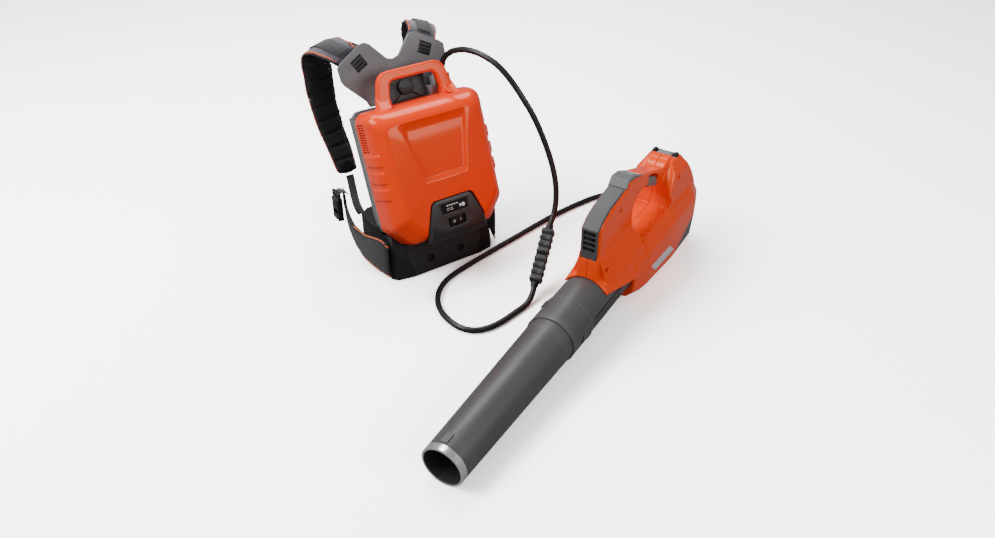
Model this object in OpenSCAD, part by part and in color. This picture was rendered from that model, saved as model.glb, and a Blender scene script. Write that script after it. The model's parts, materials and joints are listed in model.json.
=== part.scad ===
// Backpack battery on a carrying harness, joined by a plug cable to a hand-held leaf blower.
// Millimetres. Origin: on the underside of the backpack's base, in its middle plane, +Z up.
// -Y is the side that faces away from the wearer, +Y the wearer's side.

/* [Battery pack] */
// Backward lean of the battery pack, degrees
lean = 22; // [20:0.5:24]
// Half width of the orange cover
cover_hw = 128; // [124:1:130]
// Thickness of moulded walls
wall = 3; // [2.4:0.2:3.4]
// Radius of one battery cell
cell_r = 10.4; // [9:0.1:10.6]
// Cells across the pack
cell_cols = 9; // [6:1:9]
// Cells up the pack
cell_rows = 8; // [6:1:8]

/* [Blower] */
// Heading of the blower's axis from +X, degrees
heading = 23.7; // [20:0.1:27]
// Rise of the blower's axis towards the rear, degrees
rise = 3.3; // [3.2:0.1:3.5]
// Outer radius of the mouth ring
mouth_r = 39.6; // [39:0.1:40]
// Outer radius of the nozzle tube at the bayonet seam
tube_r = 47.1; // [46:0.1:47.4]
// Distance from the mouth to the bayonet seam
seam_u = 339; // [330:1:345]
// Outer radius of the fixed duct
duct_r = 48.8; // [48.6:0.1:49]
// Inner radius of the fixed duct
duct_bore_r = 46; // [45.8:0.1:46.2]
// Number of fan blades
blades = 9; // [7:1:11]

/* [Cables] */
// Diameter of the power cable
cable_d = 12; // [11:0.5:12]
// Sides of the swept cable
cable_sides = 10; // [8:1:12]

/* [Hidden] */
$fn = 32;

orange = [0.93, 0.27, 0.04];
charcoal = [0.22, 0.22, 0.23];
grey = [0.38, 0.38, 0.40];
black = [0.06, 0.06, 0.07];
steel = [0.75, 0.76, 0.78];

// ---------- shared helpers ----------

// The battery pack's own frame: X across, -Y out of the front, Z up the leaning face
module leaning() rotate([-lean, 0, 0]) children();

// The blower's own frame: X from the mouth to the rear, Y to its left, Z up
mouth = [-325, -614.5, 40.4];
module blower_frame() translate(mouth) rotate([0, -rise, heading]) children();

// Solid of revolution about the blower's axis from [u, r] points
module turned(points, fn = 72) rotate([0, 90, 0]) rotate([0, 0, 90])
  rotate_extrude($fn = fn) polygon([for (p = points) [p[1], p[0]]]);

// Plate in the blower's side plane, from [u, w] points, v from v0 to v1
module side_plate(points, v0, v1) translate([0, v1, 0]) rotate([90, 0, 0])
  linear_extrude(v1 - v0) polygon(points);

// Pocket for such a plate, a little larger all round, v from -half to half
module side_pocket(points, half) translate([0, half, 0]) rotate([90, 0, 0])
  linear_extrude(2 * half) offset(delta = 0.12) polygon(points);

// Cylinder along the blower's v axis
module cross_rod(u, w, r, v0, v1) translate([u, v0, w]) rotate([-90, 0, 0])
  cylinder(r = r, h = v1 - v0);

function unit(v) = v / norm(v);
function flip(p) = [-p[0], p[1], p[2]];

// Closed skin over rings that have the same number of points
module skin(rings) {
  n = len(rings[0]);
  m = len(rings);
  polyhedron(
    points = [for (r = rings) for (p = r) p],
    faces = concat(
      [[for (i = [0:n - 1]) i]],
      [for (k = [0:m - 2]) for (i = [0:n - 1]) let (j = (i + 1) % n)
        [k * n + j, k * n + i, (k + 1) * n + i]],
      [for (k = [0:m - 2]) for (i = [0:n - 1]) let (j = (i + 1) % n)
        [k * n + j, (k + 1) * n + i, (k + 1) * n + j]],
      [[for (i = [n - 1:-1:0]) (m - 1) * n + i]]),
    convexity = 8);
}

// Round cable swept along a route
function tangent(p, i) = unit(p[min(i + 1, len(p) - 1)] - p[max(i - 1, 0)]);
function carried(p, i, v) = let (t = tangent(p, i)) unit(v - t * (v * t));
function frames(p, i = 0, v = [0.3, 0.2, 0.93]) = i >= len(p) ? [] :
  let (a = carried(p, i, v)) concat([a], frames(p, i + 1, a));
module swept(route, d, sides) {
  side = frames(route);
  skin([for (i = [0:len(route) - 1]) let (a = side[i], b = cross(tangent(route, i), a))
    [for (k = [0:sides - 1]) route[i] - d / 2 * (cos(k * 360 / sides) * a
      + sin(k * 360 / sides) * b)]]);
}

// Flat band: each station is [centre, half width vector], thickness across
module band(stations, thick) skin([for (i = [0:len(stations) - 1]) let (
    c = stations[i][0], w = stations[i][1],
    t = unit(stations[min(i + 1, len(stations) - 1)][0] - stations[max(i - 1, 0)][0]),
    n = unit(cross(t, w)) * thick / 2)
  [c - w - n, c - w * 0.94 + n, c + w * 0.94 + n, c + w - n]]);

// ---------- battery pack ----------

front_n = 182;  // front face of the cover, out from the lean axis
seam_n = 98;    // joint between the orange cover and the rear cover
rear_n = 70;    // back face of the rear cover
frame_n = 58.5; // back face of the harness frame

// Rounded outline of the pack in its own X-Z plane
module pack_outline(hw, low, high, corner, r) offset(r = r) offset(delta = -r)
  polygon([[-hw + corner, low], [hw - corner, low], [hw, low + corner * 1.15],
    [hw, high], [-hw, high], [-hw, low + corner * 1.15]]);

module pack_slice(n, hw, low, high, corner, r) translate([0, -n, 0]) rotate([90, 0, 0])
  linear_extrude(0.1) pack_outline(hw, low, high, corner, r);

// Outer form of the orange cover, grown outwards by g
module cover_form(g = 0) hull() {
  pack_slice(seam_n, cover_hw + g, 40 - g, 318 + g, 35, 16);
  pack_slice(150 + g, cover_hw + g, 44 - g, 316 + g, 36, 16);
  pack_slice(171 + g, cover_hw - 9 + g, 52 - g, 304 + g, 38, 16);
  pack_slice(front_n + g, cover_hw - 25 + g, 66 - g, 288 + g, 32, 14);
}

module rear_form(g = 0) hull() {
  pack_slice(rear_n - g, cover_hw - 8 + g, 60 - g, 304 + g, 28, 14);
  pack_slice(seam_n - 0.1, cover_hw - 2 + g, 44 - g, 317 + g, 35, 16);
}

// Control bezel outline, wide at the bottom
module bezel_outline(g = 0) offset(delta = g)
  polygon([[-68, 40], [68, 40], [64, 74], [48, 116], [40, 122], [-40, 122], [-48, 116], [-64, 74]]);

handle_n = 127;
handle_t = 18;
handle_pts = [[-90, 306], [-84, 332], [-74, 372], [-66, 384], [-54, 388], [54, 388], [66, 384],
  [74, 372], [84, 332], [90, 306]];
handle_gap = [[-56, 335], [-51, 364], [-46, 368], [46, 368], [51, 364], [56, 335]];

module shell_cover() color(orange) leaning() {
  difference() {
    union() {
      cover_form();
      translate([0, -handle_n + handle_t / 2, 0]) rotate([90, 0, 0])
        linear_extrude(handle_t) difference() {
          polygon(handle_pts);
          polygon(handle_gap);
        }
    }
    translate([0, 0.02, 0]) cover_form(-wall);
    translate([0, -150, 0]) rotate([90, 0, 0]) linear_extrude(60) bezel_outline(0.3);
    for (side = [-1, 1]) for (column = [0, 1]) for (row = [0:11])
      translate([side * cover_hw, -112 - column * 15, 244 + row * 4.8 + column * 1.2])
        cube([12, 12, 2.2], center = true);
  }
  // three grip ribs on each side
  for (side = [-1, 1]) for (k = [0:2]) translate([side * (cover_hw + 0.6), -131, 215 - k * 34])
    cube([3, 34, 21], center = true);
}

module rear_cover() color(charcoal) leaning() difference() {
  rear_form();
  hull() {
    pack_slice(rear_n + wall, cover_hw - 12, 66, 298, 28, 12);
    pack_slice(seam_n + 1, cover_hw - 6, 52, 312, 33, 14);
  }
}

cell_pitch = cell_r * 2 + 0.6;
cell_s0 = 188;
module cell_pack() color("steelblue") leaning()
  for (i = [0:cell_cols - 1]) for (k = [0:cell_rows - 1])
    translate([(i - (cell_cols - 1) / 2) * cell_pitch, -82,
      cell_s0 + (k - (cell_rows - 1) / 2) * cell_pitch])
      rotate([90, 0, 0]) cylinder(r = cell_r, h = 70, $fn = 24);

module cell_end_plates() color("ivory") leaning() for (n = [79.9, 155.1])
  translate([-100, -n - 1, cell_s0 - 89]) cube([200, 2, 178]);

module control_board() color("darkgreen") leaning() {
  translate([-42, -165, 60]) cube([84, 1.6, 50]);
  for (x = [-36, -11, 14]) translate([x, -163.4, 66]) cube([20, 8, 16]);
}

module control_bezel() color(charcoal) leaning() difference() {
  hull() {
    translate([0, -158.5, 0]) rotate([90, 0, 0]) linear_extrude(0.1) bezel_outline();
    translate([0, -172, 0]) rotate([90, 0, 0]) linear_extrude(8) bezel_outline();
    translate([0, -186, 6]) rotate([90, 0, 0]) linear_extrude(0.1) bezel_outline(-6);
  }
  // hollow behind the face
  translate([-44, -180, 50]) cube([88, 40, 62]);
  // window
  translate([-30, -190, 92]) cube([60, 12, 20]);
  // switch well
  translate([-19.3, -200, 63.2]) cube([38.6, 50, 18.6]);
}

module display_window() color([0.1, 0.1, 0.12]) leaning() difference() {
  translate([-29.8, -185, 92.2]) cube([59.6, 4, 19.6]);
  translate([20, -190, 101]) rotate([-90, 0, 0]) cylinder(r = 4.25, h = 12);
}

rocker_n = 180;
rocker_s = 72.5;
module rocker_switch() color(black) leaning() translate([0, -rocker_n, rocker_s])
  rotate([0, 0, 8]) difference() {
    translate([0, 0, -8.5]) linear_extrude(17)
      polygon([[-17, -3], [-15, -4.6], [0, -3], [15, -4.6], [17, -3], [13, 5], [-13, 5]]);
    translate([0, 0, -10]) cylinder(r = 1.6, h = 20);
  }

module check_button() color("whitesmoke") leaning() translate([20, -186, 101])
  rotate([-90, 0, 0]) cylinder(r = 4, h = 5);

module lock_plate() color(black) leaning() difference() {
  union() {
    translate([-45, -90, 319]) cube([90, 5, 46]);
    translate([-38, -90, 311.8]) cube([76, 16, 7.2]);
  }
  translate([0, -100, 346]) rotate([-90, 0, 0]) cylinder(r = 4.1, h = 20);
  rear_form(0.05);
  cover_form(0.05);
}

module lock_knob() color(charcoal) leaning() translate([0, 0, 346]) rotate([90, 0, 0]) {
  translate([0, 0, 90.4]) cylinder(r = 16, h = 7);
  translate([0, 0, 97.4]) translate([-13, -2.5, 0]) cube([26, 5, 3]);
  translate([0, 0, 79]) cylinder(r = 4, h = 12);
}

gland_base = [87, 57.5, 362];
gland_tip = [90, 48, 386];
gland_turn = atan2(gland_tip[1] - gland_base[1], gland_tip[0] - gland_base[0]);
gland_tilt = acos((gland_tip[2] - gland_base[2]) / norm(gland_tip - gland_base));
module gland_axis() translate(gland_base) rotate([0, gland_tilt, gland_turn]) children();

module cable_outlet() color(charcoal) difference() {
  union() {
    leaning() translate([50, -100, 318.3]) cube([50, 22, 35]);
    gland_axis() translate([0, 0, -16]) cylinder(r = 13, h = 18);
  }
  gland_axis() translate([0, 0, -8]) cylinder(r = 9.02, h = 30);
  leaning() translate([50, -110, 336]) cube([14, 40, 30]);
  leaning() translate([66, -110, 330]) cube([12, 18, 12]);
  leaning() translate([0, -67.6, 300]) cube([200, 60, 120]);
}

module pack_gland() color(black) difference() {
  gland_axis() {
    translate([0, 0, -8]) cylinder(r = 9, h = 12);
    translate([0, 0, 4]) cylinder(r1 = 9, r2 = 7.2, h = norm(gland_tip - gland_base) - 4);
  }
  gland_axis() for (k = [0:2]) translate([0, 0, 7 + k * 5]) difference() {
    cylinder(r = 12, h = 2);
    cylinder(r = 6.9, h = 2);
  }
}

// ---------- base ----------

base_hw = 124;
module base_outline(g = 0) offset(delta = g)
  polygon([[-84, -97], [84, -97], [base_hw - 10, -91], [base_hw, -78], [base_hw, 42],
    [base_hw - 22, 62], [-base_hw + 22, 62], [-base_hw, 42], [-base_hw, -78], [-base_hw + 10, -91]]);

module base_body() color(black) difference() {
  hull() {
    translate([0, 0, 3]) linear_extrude(0.1) base_outline();
    translate([0, 8, 98]) linear_extrude(0.1) scale([1, 0.84]) base_outline();
  }
  leaning() cover_form(1);
  leaning() hull() {
    rear_form(1);
    translate([-118, -68.5, 44]) cube([236, 27, 120]);
  }
  // hollow underneath, with a boss round each front screw
  difference() {
    translate([0, 0, 2]) linear_extrude(32) base_outline(-13);
    for (x = [-36, 36]) translate([x, -62, 29]) rotate([90, 0, 0]) cylinder(r = 8, h = 30);
  }
  for (x = [-36, 36]) translate([x, -87.5, 29]) rotate([90, 0, 0]) cylinder(r = 7, h = 12);
  for (x = [-36, 36]) translate([x, -60, 29]) rotate([90, 0, 0]) cylinder(r = 2.6, h = 40);
}

module base_plate() color(charcoal) difference() {
  linear_extrude(3) base_outline(-0.4);
  for (x = [-70, 70]) for (y = [-60, 30]) translate([x, y, -1]) cylinder(r = 2.3, h = 5);
}

module base_screws() color(steel) for (x = [-36, 36]) translate([x, -66, 29])
  rotate([90, 0, 0]) {
    translate([0, 0, 21.55]) cylinder(r = 5, h = 2.6);
    cylinder(r = 2.55, h = 21.6);
  }

// ---------- harness ----------

module rear_frame() color(grey) leaning() difference() {
  union() {
    translate([-108, -67, 46]) cube([216, 8, 274]);
    for (side = [-1, 1]) translate([side * 112 - 4, -67, 70]) cube([8, 24, 240]);
  }
  // lightening openings either side of the spine
  for (side = [-1, 1]) translate([side * 62 - 28, -75, 110]) cube([56, 24, 150]);
  for (x = [-24, 24]) for (s = [262, 300]) translate([x, -75, s]) rotate([-90, 0, 0])
    cylinder(r = 2.6, h = 24);
}

module frame_screws() color(steel) leaning() for (x = [-24, 24]) for (s = [262, 300])
  translate([x, -69.4, s]) rotate([-90, 0, 0]) {
    translate([0, 0, -0.2]) cylinder(r = 5, h = 2.5);
    cylinder(r = 2.55, h = 17);
  }

yoke_half = [[0, 404], [14, 408], [44, 442], [54, 447], [64, 445], [112, 418], [120, 410],
  [119, 384], [114, 374], [76, 334], [72, 322], [0, 322]];
window_x = 75;
window_s = 410;
window_turn = 28;
module yoke_plate() color(grey) leaning() difference() {
  union() {
    for (side = [0, 1]) mirror([side, 0, 0]) translate([0, -58.5, 0]) rotate([90, 0, 0])
      linear_extrude(8.5) polygon(yoke_half);
    translate([-40, -58.5, 245]) cube([80, 7, 85]);
  }
  for (side = [-1, 1]) translate([side * window_x, -70, window_s]) rotate([0, side * window_turn, 0])
    translate([-14, 0, -13]) cube([28, 20, 26]);
  for (side = [-1, 1]) translate([side * window_x, -63, window_s]) rotate([0, side * window_turn, 0])
    translate([-17, 0, 0]) rotate([0, 90, 0]) cylinder(r = 2.1, h = 34);
  for (x = [-24, 24]) for (s = [262, 300]) translate([x, -75, s]) rotate([-90, 0, 0])
    cylinder(r = 2.6, h = 30);
  translate([-48, -75, 340]) rotate([-90, 0, 0]) cylinder(r = 5, h = 30);
  translate([48, -75, 340]) rotate([-90, 0, 0]) cylinder(r = 5, h = 30);
}

// Ladder lock: ribbed plate that tilts on a cross pin in the yoke's window
module ladder_lock(side) color(black) leaning() translate([side * window_x, -63, window_s])
  rotate([0, side * window_turn, 0]) difference() {
    union() {
      translate([-16.8, 0, 0]) rotate([0, 90, 0]) cylinder(r = 2, h = 33.6);
      translate([-13, -3, -10]) cube([26, 5, 20]);
      for (k = [-1, 0, 1]) translate([-12, -4.4, k * 6 - 1.2]) cube([24, 1.6, 2.4]);
    }
    translate([-10, -6, 2.6]) cube([20, 12, 2.2]);
    translate([-10, -6, -4.8]) cube([20, 12, 2.2]);
  }
module ladder_lock_left() ladder_lock(-1);
module ladder_lock_right() ladder_lock(1);

// Shoulder straps: centre points and half width vectors, from behind the yoke, over and down
strap_left = [
  [[-52, 107, 384], [28, 2, 17]], [[-64, 111, 397], [30, 2, 17]], [[-78, 117, 411], [31, 2, 17]],
  [[-92, 120, 420], [32, 2, 15]], [[-106, 136, 427], [34, 2, 12]],
  [[-116, 158, 429], [36, 2, 10]], [[-121, 182, 416], [37, 2, 8]],
  [[-121, 197, 386], [37, 4, 4]], [[-118, 203, 345], [37, 6, 1]],
  [[-115, 200, 298], [36, 5, 0]], [[-111, 189, 248], [34, 4, 0]],
  [[-104, 168, 196], [31, 2, 0]], [[-100, 140, 142], [24, 0, 0]]
];
strap_right = [
  [[52, 107, 384], [-28, 2, 17]], [[64, 111, 397], [-30, 2, 17]], [[76, 117, 411], [-32, 2, 18]],
  [[88, 124, 424], [-35, 2, 17]], [[98, 142, 431], [-38, 1, 15]],
  [[105, 164, 429], [-40, 0, 14]], [[110, 184, 412], [-39, 2, 10]],
  [[116, 198, 384], [-38, 4, 5]], [[120, 203, 345], [-37, 6, 1]],
  [[118, 200, 298], [-36, 5, 0]], [[111, 189, 248], [-34, 4, 0]],
  [[104, 168, 196], [-31, 2, 0]], [[100, 140, 142], [-24, 0, 0]]
];
pad_t = 14;
function strap_normal(list, i) = unit(cross(
  list[min(i + 1, len(list) - 1)][0] - list[max(i - 1, 0)][0], list[i][1]));

module shoulder_pad_left() color(black) band(strap_left, pad_t);
module shoulder_pad_right() color(black) band(strap_right, pad_t);

// Webbing that lies on the outside of each pad
module shoulder_webbing() color(grey) for (side = [-1, 1]) {
  list = side < 0 ? strap_left : strap_right;
  band([for (i = [3:len(list) - 1])
    [list[i][0] + strap_normal(list, i) * side * (pad_t / 2 + 2), list[i][1] * 0.45]], 2);
}

// Thin adjusting webbing from each pad to the foot of the frame
module lower_webbing() color(black) for (side = [-1, 1]) band(
  [for (c = [[100, 139, 141], [100, 134, 130], [104, 118, 108], [108, 100, 92], [110, 84, 84], [110, 72, 80]])
    [[side * c[0], c[1], c[2]], [9, 0, 0]]], 2);

module back_pad() color(black) leaning() for (side = [-1, 1])
  hull() for (x = [20, 90]) for (s = [130, 318])
    translate([side * x, -50.8, s]) rotate([-90, 0, 0]) cylinder(r = 14, h = 12, $fn = 24);

module lumbar_pad() color(black) hull() for (x = [-70, 70]) for (z = [30, 84])
  translate([x, 66, z]) rotate([-90, 0, 0]) cylinder(r = 16, h = 14, $fn = 24);

// Hip belt wing on the left: tall at the pack's front corner, narrow at the buckle
wing = [
  [[-128, -86, 52], [0, 0, 46]], [[-139, -52, 55], [0, 0, 45]], [[-146, -10, 53], [0, 0, 38]],
  [[-149, 26, 62], [0, 2, 32]], [[-148, 56, 84], [0, 4, 25]], [[-143, 78, 112], [0, 5, 19]],
  [[-136, 90, 138], [0, 5, 15]]
];
wing_t = 8;
module hip_belt(side) color(charcoal)
  band([for (w = wing) side < 0 ? w : [flip(w[0]), w[1]]], wing_t);
module hip_belt_left() hip_belt(-1);
module hip_belt_right() hip_belt(1);

buckle_at = [-158, 84, 104];
module buckle_socket() color(black) translate(buckle_at) difference() {
  union() {
    translate([-6, -14, -26]) cube([12, 28, 52]);
    translate([-3, -16, 26]) cube([6, 32, 14]);
  }
  translate([-3.5, -11, -30]) cube([7, 22, 44]);
  translate([-8, -9, -12]) cube([16, 18, 12]);
  translate([-4, -12, 31]) cube([8, 24, 5]);
}

module buckle_tongue() color(black) translate(flip(buckle_at)) {
  difference() {
    translate([-3, -16, 8]) cube([6, 32, 14]);
    translate([-4, -12, 13]) cube([8, 24, 5]);
  }
  for (y = [-10, -2, 6]) translate([-2.5, y, -18]) cube([5, 4, 26]);
}

// ---------- cables ----------

connector_top = [167, -232, 112];
connector_dir = [0.612, 0.451, 0.649];
connector_len = 134;
connector_low = connector_top - connector_dir * connector_len;

// Route of the cable from the battery's gland to the connector
pack_route = [[90, 48, 386], [93, 39, 401], [98, 22, 415], [104, -1, 425], [112, -30, 430],
  [122, -61, 427], [132, -88, 417], [141, -109, 401], [149, -127, 382], [158, -141, 360],
  [168, -153, 336], [177, -163, 311], [185, -172, 284], [192, -181, 256], [197, -190, 228],
  [199, -200, 199], [197, -209, 172], [189, -219, 144], [178, -226, 124], connector_top];

// Ball centre of the blower's swivel gland, and the cable's first points from it
ball_u = 878;
ball_w = 85;
ball = mouth + (ball_u * cos(rise) - ball_w * sin(rise)) * [cos(heading), sin(heading), 0]
  + [0, 0, ball_u * sin(rise) + ball_w * cos(rise)];
stem_yaw = heading + 20;
stem_dir = unit([cos(stem_yaw), sin(stem_yaw), -0.16]);
stem_end = ball + stem_dir * 46;

// Route of the cable from the connector round the floor to the blower
blower_route = [connector_low, [76, -300, 16], [60, -309, 9], [42, -315, 6.5], [18, -321, 6.2],
  [-16, -329, 6.2], [-49, -331, 6.2], [-76, -323, 6.2], [-94, -302, 6.2], [-101, -270, 6.2],
  [-99, -236, 6.2], [-88, -204, 6.2], [-69, -177, 6.2], [-42, -155, 6.2], [-10, -141, 6.2],
  [28, -131, 6.2], [68, -121, 6.2], [115, -110, 6.2], [172, -98, 6.2], [230, -85, 6.2],
  [291, -73, 6.2], [352, -64, 6.2], [408, -60, 6.2], [436, -60, 6.2], [459, -64, 6.2],
  [485, -72, 7.5], [508, -82, 12], [527, -97, 24], [541, -114, 43], [549, -133, 66],
  [552, -154, 92], [549, -175, 117], [542, -196, 139], [530, -214, 155], [517, -226, 164],
  stem_end];

module pack_cable() color(black) swept(pack_route, cable_d, cable_sides);
module blower_cable() color(black) swept(blower_route, cable_d, cable_sides);

connector_tilt = acos(connector_dir[2]);
connector_turn = atan2(connector_dir[1], connector_dir[0]);
module connector_frame() translate(connector_low) rotate([0, connector_tilt, connector_turn])
  children();

// One half of the inline connector: ribbed square body with a tapered cable end
module connector_half() {
  difference() {
    union() {
      cylinder(r1 = 7.4, r2 = 9, h = 12);
      translate([-9.5, -11, 10]) cube([19, 22, 56.5]);
      for (k = [0:3]) translate([-10.7, -12.2, 13 + k * 14]) cube([21.4, 24.4, 7]);
    }
    for (side = [-1, 1]) translate([side * 11.5 - 1.2, -5, 20]) cube([2.4, 10, 30]);
  }
}
module connector_plug() color(black) connector_frame() {
  connector_half();
  for (x = [-4, 4]) translate([x, 0, 66.5]) cylinder(r = 2.4, h = 14);
}
module connector_socket() color(black) connector_frame()
  translate([0, 0, connector_len]) mirror([0, 0, 1]) difference() {
    union() {
      connector_half();
      translate([-9.5, -11, 66.5]) cube([19, 22, 0.45]);
    }
    for (x = [-4, 4]) translate([x, 0, 50]) cylinder(r = 2.46, h = 20);
  }

module swivel_gland() color(black) translate(ball) {
  sphere(r = 11, $fn = 48);
  rotate([0, acos(stem_dir[2]), stem_yaw]) cylinder(r1 = 7.6, r2 = 7, h = 46);
}

// ---------- blower: nozzle and duct ----------

module nozzle_ring() color(steel) blower_frame() turned(
  [[0, 35.4], [0, mouth_r - 0.8], [0.8, mouth_r], [12.6, mouth_r], [12.6, 38.05], [2.05, 38.05],
    [2.05, 35.4]]);

spigot_r = 45.5;
lug_angle = 24;
module nozzle_tube() color(charcoal) blower_frame() {
  turned([[2.1, 35.4], [2.1, 38], [12.7, 38], [12.7, mouth_r], [seam_u, tube_r],
    [seam_u, spigot_r], [seam_u + 37, spigot_r], [seam_u + 37, 43.2], [seam_u - 6, 43.2]]);
  // two bayonet lugs
  for (side = [0, 180]) rotate([side, 0, 0]) translate([seam_u + 29, spigot_r - 0.8, -4])
    cube([8, 3.2, 8]);
  // moulded mark at the mouth that shows which way up the nozzle goes
  rotate([-7, 0, 0]) translate([16, -6, mouth_r - 0.6]) rotate([0, -1.3, 0]) cube([20, 12, 2.2]);
}

module blower_duct() color(charcoal) blower_frame() difference() {
  turned([[seam_u + 0.4, spigot_r + 0.5], [seam_u + 0.4, duct_r + 0.7], [408, duct_r + 1.1],
    [409, duct_r], [705, duct_r], [705, duct_bore_r], [seam_u + 39, duct_bore_r],
    [seam_u + 39, spigot_r + 0.5]]);
  // bayonet slots: the turning stretch goes through the collar, the entry is a groove inside it
  for (side = [0, 180]) rotate([side, 0, 0]) {
    rotate([-5.6, 0, 0]) rotate([0, 90, 0]) rotate([0, 0, 90])
      rotate_extrude(angle = lug_angle + 11.2, $fn = 72)
        translate([43, seam_u + 28.6]) square([10, 8.8]);
    rotate([lug_angle, 0, 0]) translate([seam_u - 2, 43, -4.5]) cube([34, 5.3, 9]);
  }
  // cooling slots on both sides
  for (side = [0, 180]) for (k = [-1, 0, 1]) rotate([side + k * 11.5, 0, 0])
    translate([416 + abs(k) * 6, duct_r - 1.6, -1.7]) cube([108, 4, 3.4]);
}

// ---------- blower: housing ----------

// Cross section of the fan housing in the v-w plane
module body_section(top, half, floor_w) offset(r = 12) offset(delta = -12) polygon([
  [-half * 0.8, top], [half * 0.8, top], [half * 0.98, top * 0.6], [half, 0],
  [half * 0.93, floor_w * 0.62], [half * 0.66, floor_w], [-half * 0.66, floor_w],
  [-half * 0.93, floor_w * 0.62], [-half, 0], [-half * 0.98, top * 0.6]]);
module body_slice(u, top, half, floor_w) translate([u, 0, 0]) rotate([90, 0, 90])
  linear_extrude(0.1) body_section(top, half, floor_w);
module body_form(g = 0) hull() {
  body_slice(574 - g, 56 + g, 57 + g, -52 - g);
  body_slice(622, 64 + g, 66 + g, -68 - g);
  body_slice(740, 68 + g, 70 + g, -81.6 - g);
  body_slice(842, 66 + g, 67 + g, -86.6 - g);
  body_slice(884 + g, 52 + g, 54 + g, -68 - g);
  body_slice(904 + g, 34 + g, 36 + g, -44 - g);
}

// Side outline of the saddle, the grip, the handle bar and the wall in front of the battery bay
fin = [[474, 20], [474, 50], [479, 90], [482, 106], [484, 153], [503, 167], [530, 177],
  [588, 186], [600, 198], [628, 194], [666, 179], [740, 149], [762, 141], [774, 144], [784, 150],
  [802, 150], [804, 60], [700, 40], [600, 20]];
hand_gap = [[628, 58], [624, 76], [625, 118], [634, 134], [650, 141], [676, 141], [706, 135],
  [736, 118], [752, 94], [755, 74], [750, 58]];
insert_out = [[480, 88], [480.4, 106], [482.4, 154], [502, 168.4], [530, 178.6], [588, 187.6]];
insert_in = [[588, 182], [532, 173], [506, 162], [490, 150], [488, 106], [488, 88]];
keypad_pts = [[589, 187], [601, 200.4], [629, 196], [665, 177.6], [662, 171], [628, 188],
  [600, 191], [589, 182]];

// Wall round the battery bay: broad shoulders that narrow to the adapter's cap
module bay_form() {
  hull() {
    translate([728, -51, 46]) cube([140, 102, 18]);
    translate([742, -47, 60]) cube([114, 94, 34]);
    translate([776, -44, 80]) cube([62, 88, 41]);
    translate([788, -27, 80]) cube([38, 54, 66]);
  }
}

// Sloping flank between the grip and the fan housing
flank = [[486, 20, 92], [616, 20, 92], [643, 18, 64], [606, 54, 64], [600, 57, 40], [560, 52, 12],
  [516, 46, 22], [488, 43, 27]];
module flank_form() hull() for (p = flank) translate([p[0], -p[1], p[2] - 2])
  cube([2, 2 * p[1], 2]);

// Region of the side that the intake grille fills
grille = [[752, -62], [766, -42], [800, -24], [846, 0], [876, 20], [896, 24], [900, -30], [870, -66]];
module grille_box(g = 0) translate([0, 90, 0]) rotate([90, 0, 0]) linear_extrude(56)
  offset(delta = g) polygon(grille);

module housing_solid() {
  body_form();
  // saddle over the duct
  intersection() {
    translate([474, 0, 0]) rotate([0, 90, 0]) cylinder(r1 = 53.5, r2 = 62, h = 120, $fn = 72);
    side_plate([[474, 26], [492, 24], [560, 8], [600, 0], [600, 80], [474, 80]], -70, 70);
  }
  side_plate(fin, -21, 21);
  bay_form();
  flank_form();
}

// Hollows inside both halves
module housing_voids() {
  intersection() {
    body_form(-wall);
    translate([584, -90, -95]) cube([360, 180, 147]);
  }
  // hollow in the grip for the wiring
  side_plate([[500, 96], [500, 148], [530, 160], [600, 168], [612, 130], [612, 80], [520, 72]],
    -15, 15);
}

trigger_slot = [[664, 130], [664, 148], [669, 157], [676, 161.5], [693, 161.5], [714, 154.5],
  [730, 146], [738, 138], [738, 112]];
module housing_cuts() {
  // duct
  translate([400, 0, 0]) rotate([0, 90, 0]) cylinder(r = duct_r + 0.3, h = 306, $fn = 72);
  side_plate(hand_gap, -30, 30);
  // well under the handle, and the scoop that goes on up the front of the bay wall
  hull() {
    for (u = [640, 738]) for (v = [-30, 30]) translate([u, v, 58])
      cylinder(r1 = 10, r2 = 22, h = 22, $fn = 24);
    translate([726, 0, 90]) scale([1, 1.5, 1]) cylinder(r = 22, h = 4, $fn = 24);
    translate([742, 0, 121]) scale([1, 1.7, 1]) cylinder(r = 16, h = 2, $fn = 24);
  }
  side_pocket(concat(insert_out, insert_in), 17.3);
  side_pocket(keypad_pts, 19.3);
  // trigger slot and pivot
  side_plate(trigger_slot, -10.4, 10.4);
  intersection() {
    side_plate(trigger_slot, -30, 30);
    translate([689, -30, 100]) cube([60, 60, 80]);
  }
  cross_rod(680, 158, 2.55, -15, 15);
  // battery bay
  translate([805.5, -27.3, 44]) cube([80, 54.6, 120]);
  for (side = [0, 1]) mirror([0, side, 0]) grille_box(0.2);
  for (p = screw_at) {
    cross_rod(p[0], p[1], 4.6, -90, -p[2]);
    cross_rod(p[0], p[1], 2.3, -p[2] - 1, p[2] * 0.6);
  }
}

// Housing screws: [u, w, depth of the head's seat]
screw_at = [[568, 152, 16], [498, 64, 16], [790, 112, 36], [612, 62, 26], [640, -58, 30]];

module housing_half(side) color(orange) blower_frame() difference() {
  intersection() {
    union() {
      difference() {
        housing_solid();
        housing_voids();
      }
      // bosses round the screws
      intersection() {
        housing_solid();
        for (p = screw_at) cross_rod(p[0], p[1], 7, -80, 80);
      }
    }
    translate([400, side > 0 ? 0 : -120, -120]) cube([600, 120, 400]);
  }
  housing_cuts();
}
module housing_left() housing_half(1);
module housing_right() housing_half(-1);

module housing_screws() color(steel) blower_frame() for (p = screw_at) {
  cross_rod(p[0], p[1], 4.2, -p[2] - 3, -p[2] - 0.02);
  cross_rod(p[0], p[1], 2.2, -p[2] - 0.1, p[2] * 0.5);
}

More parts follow.
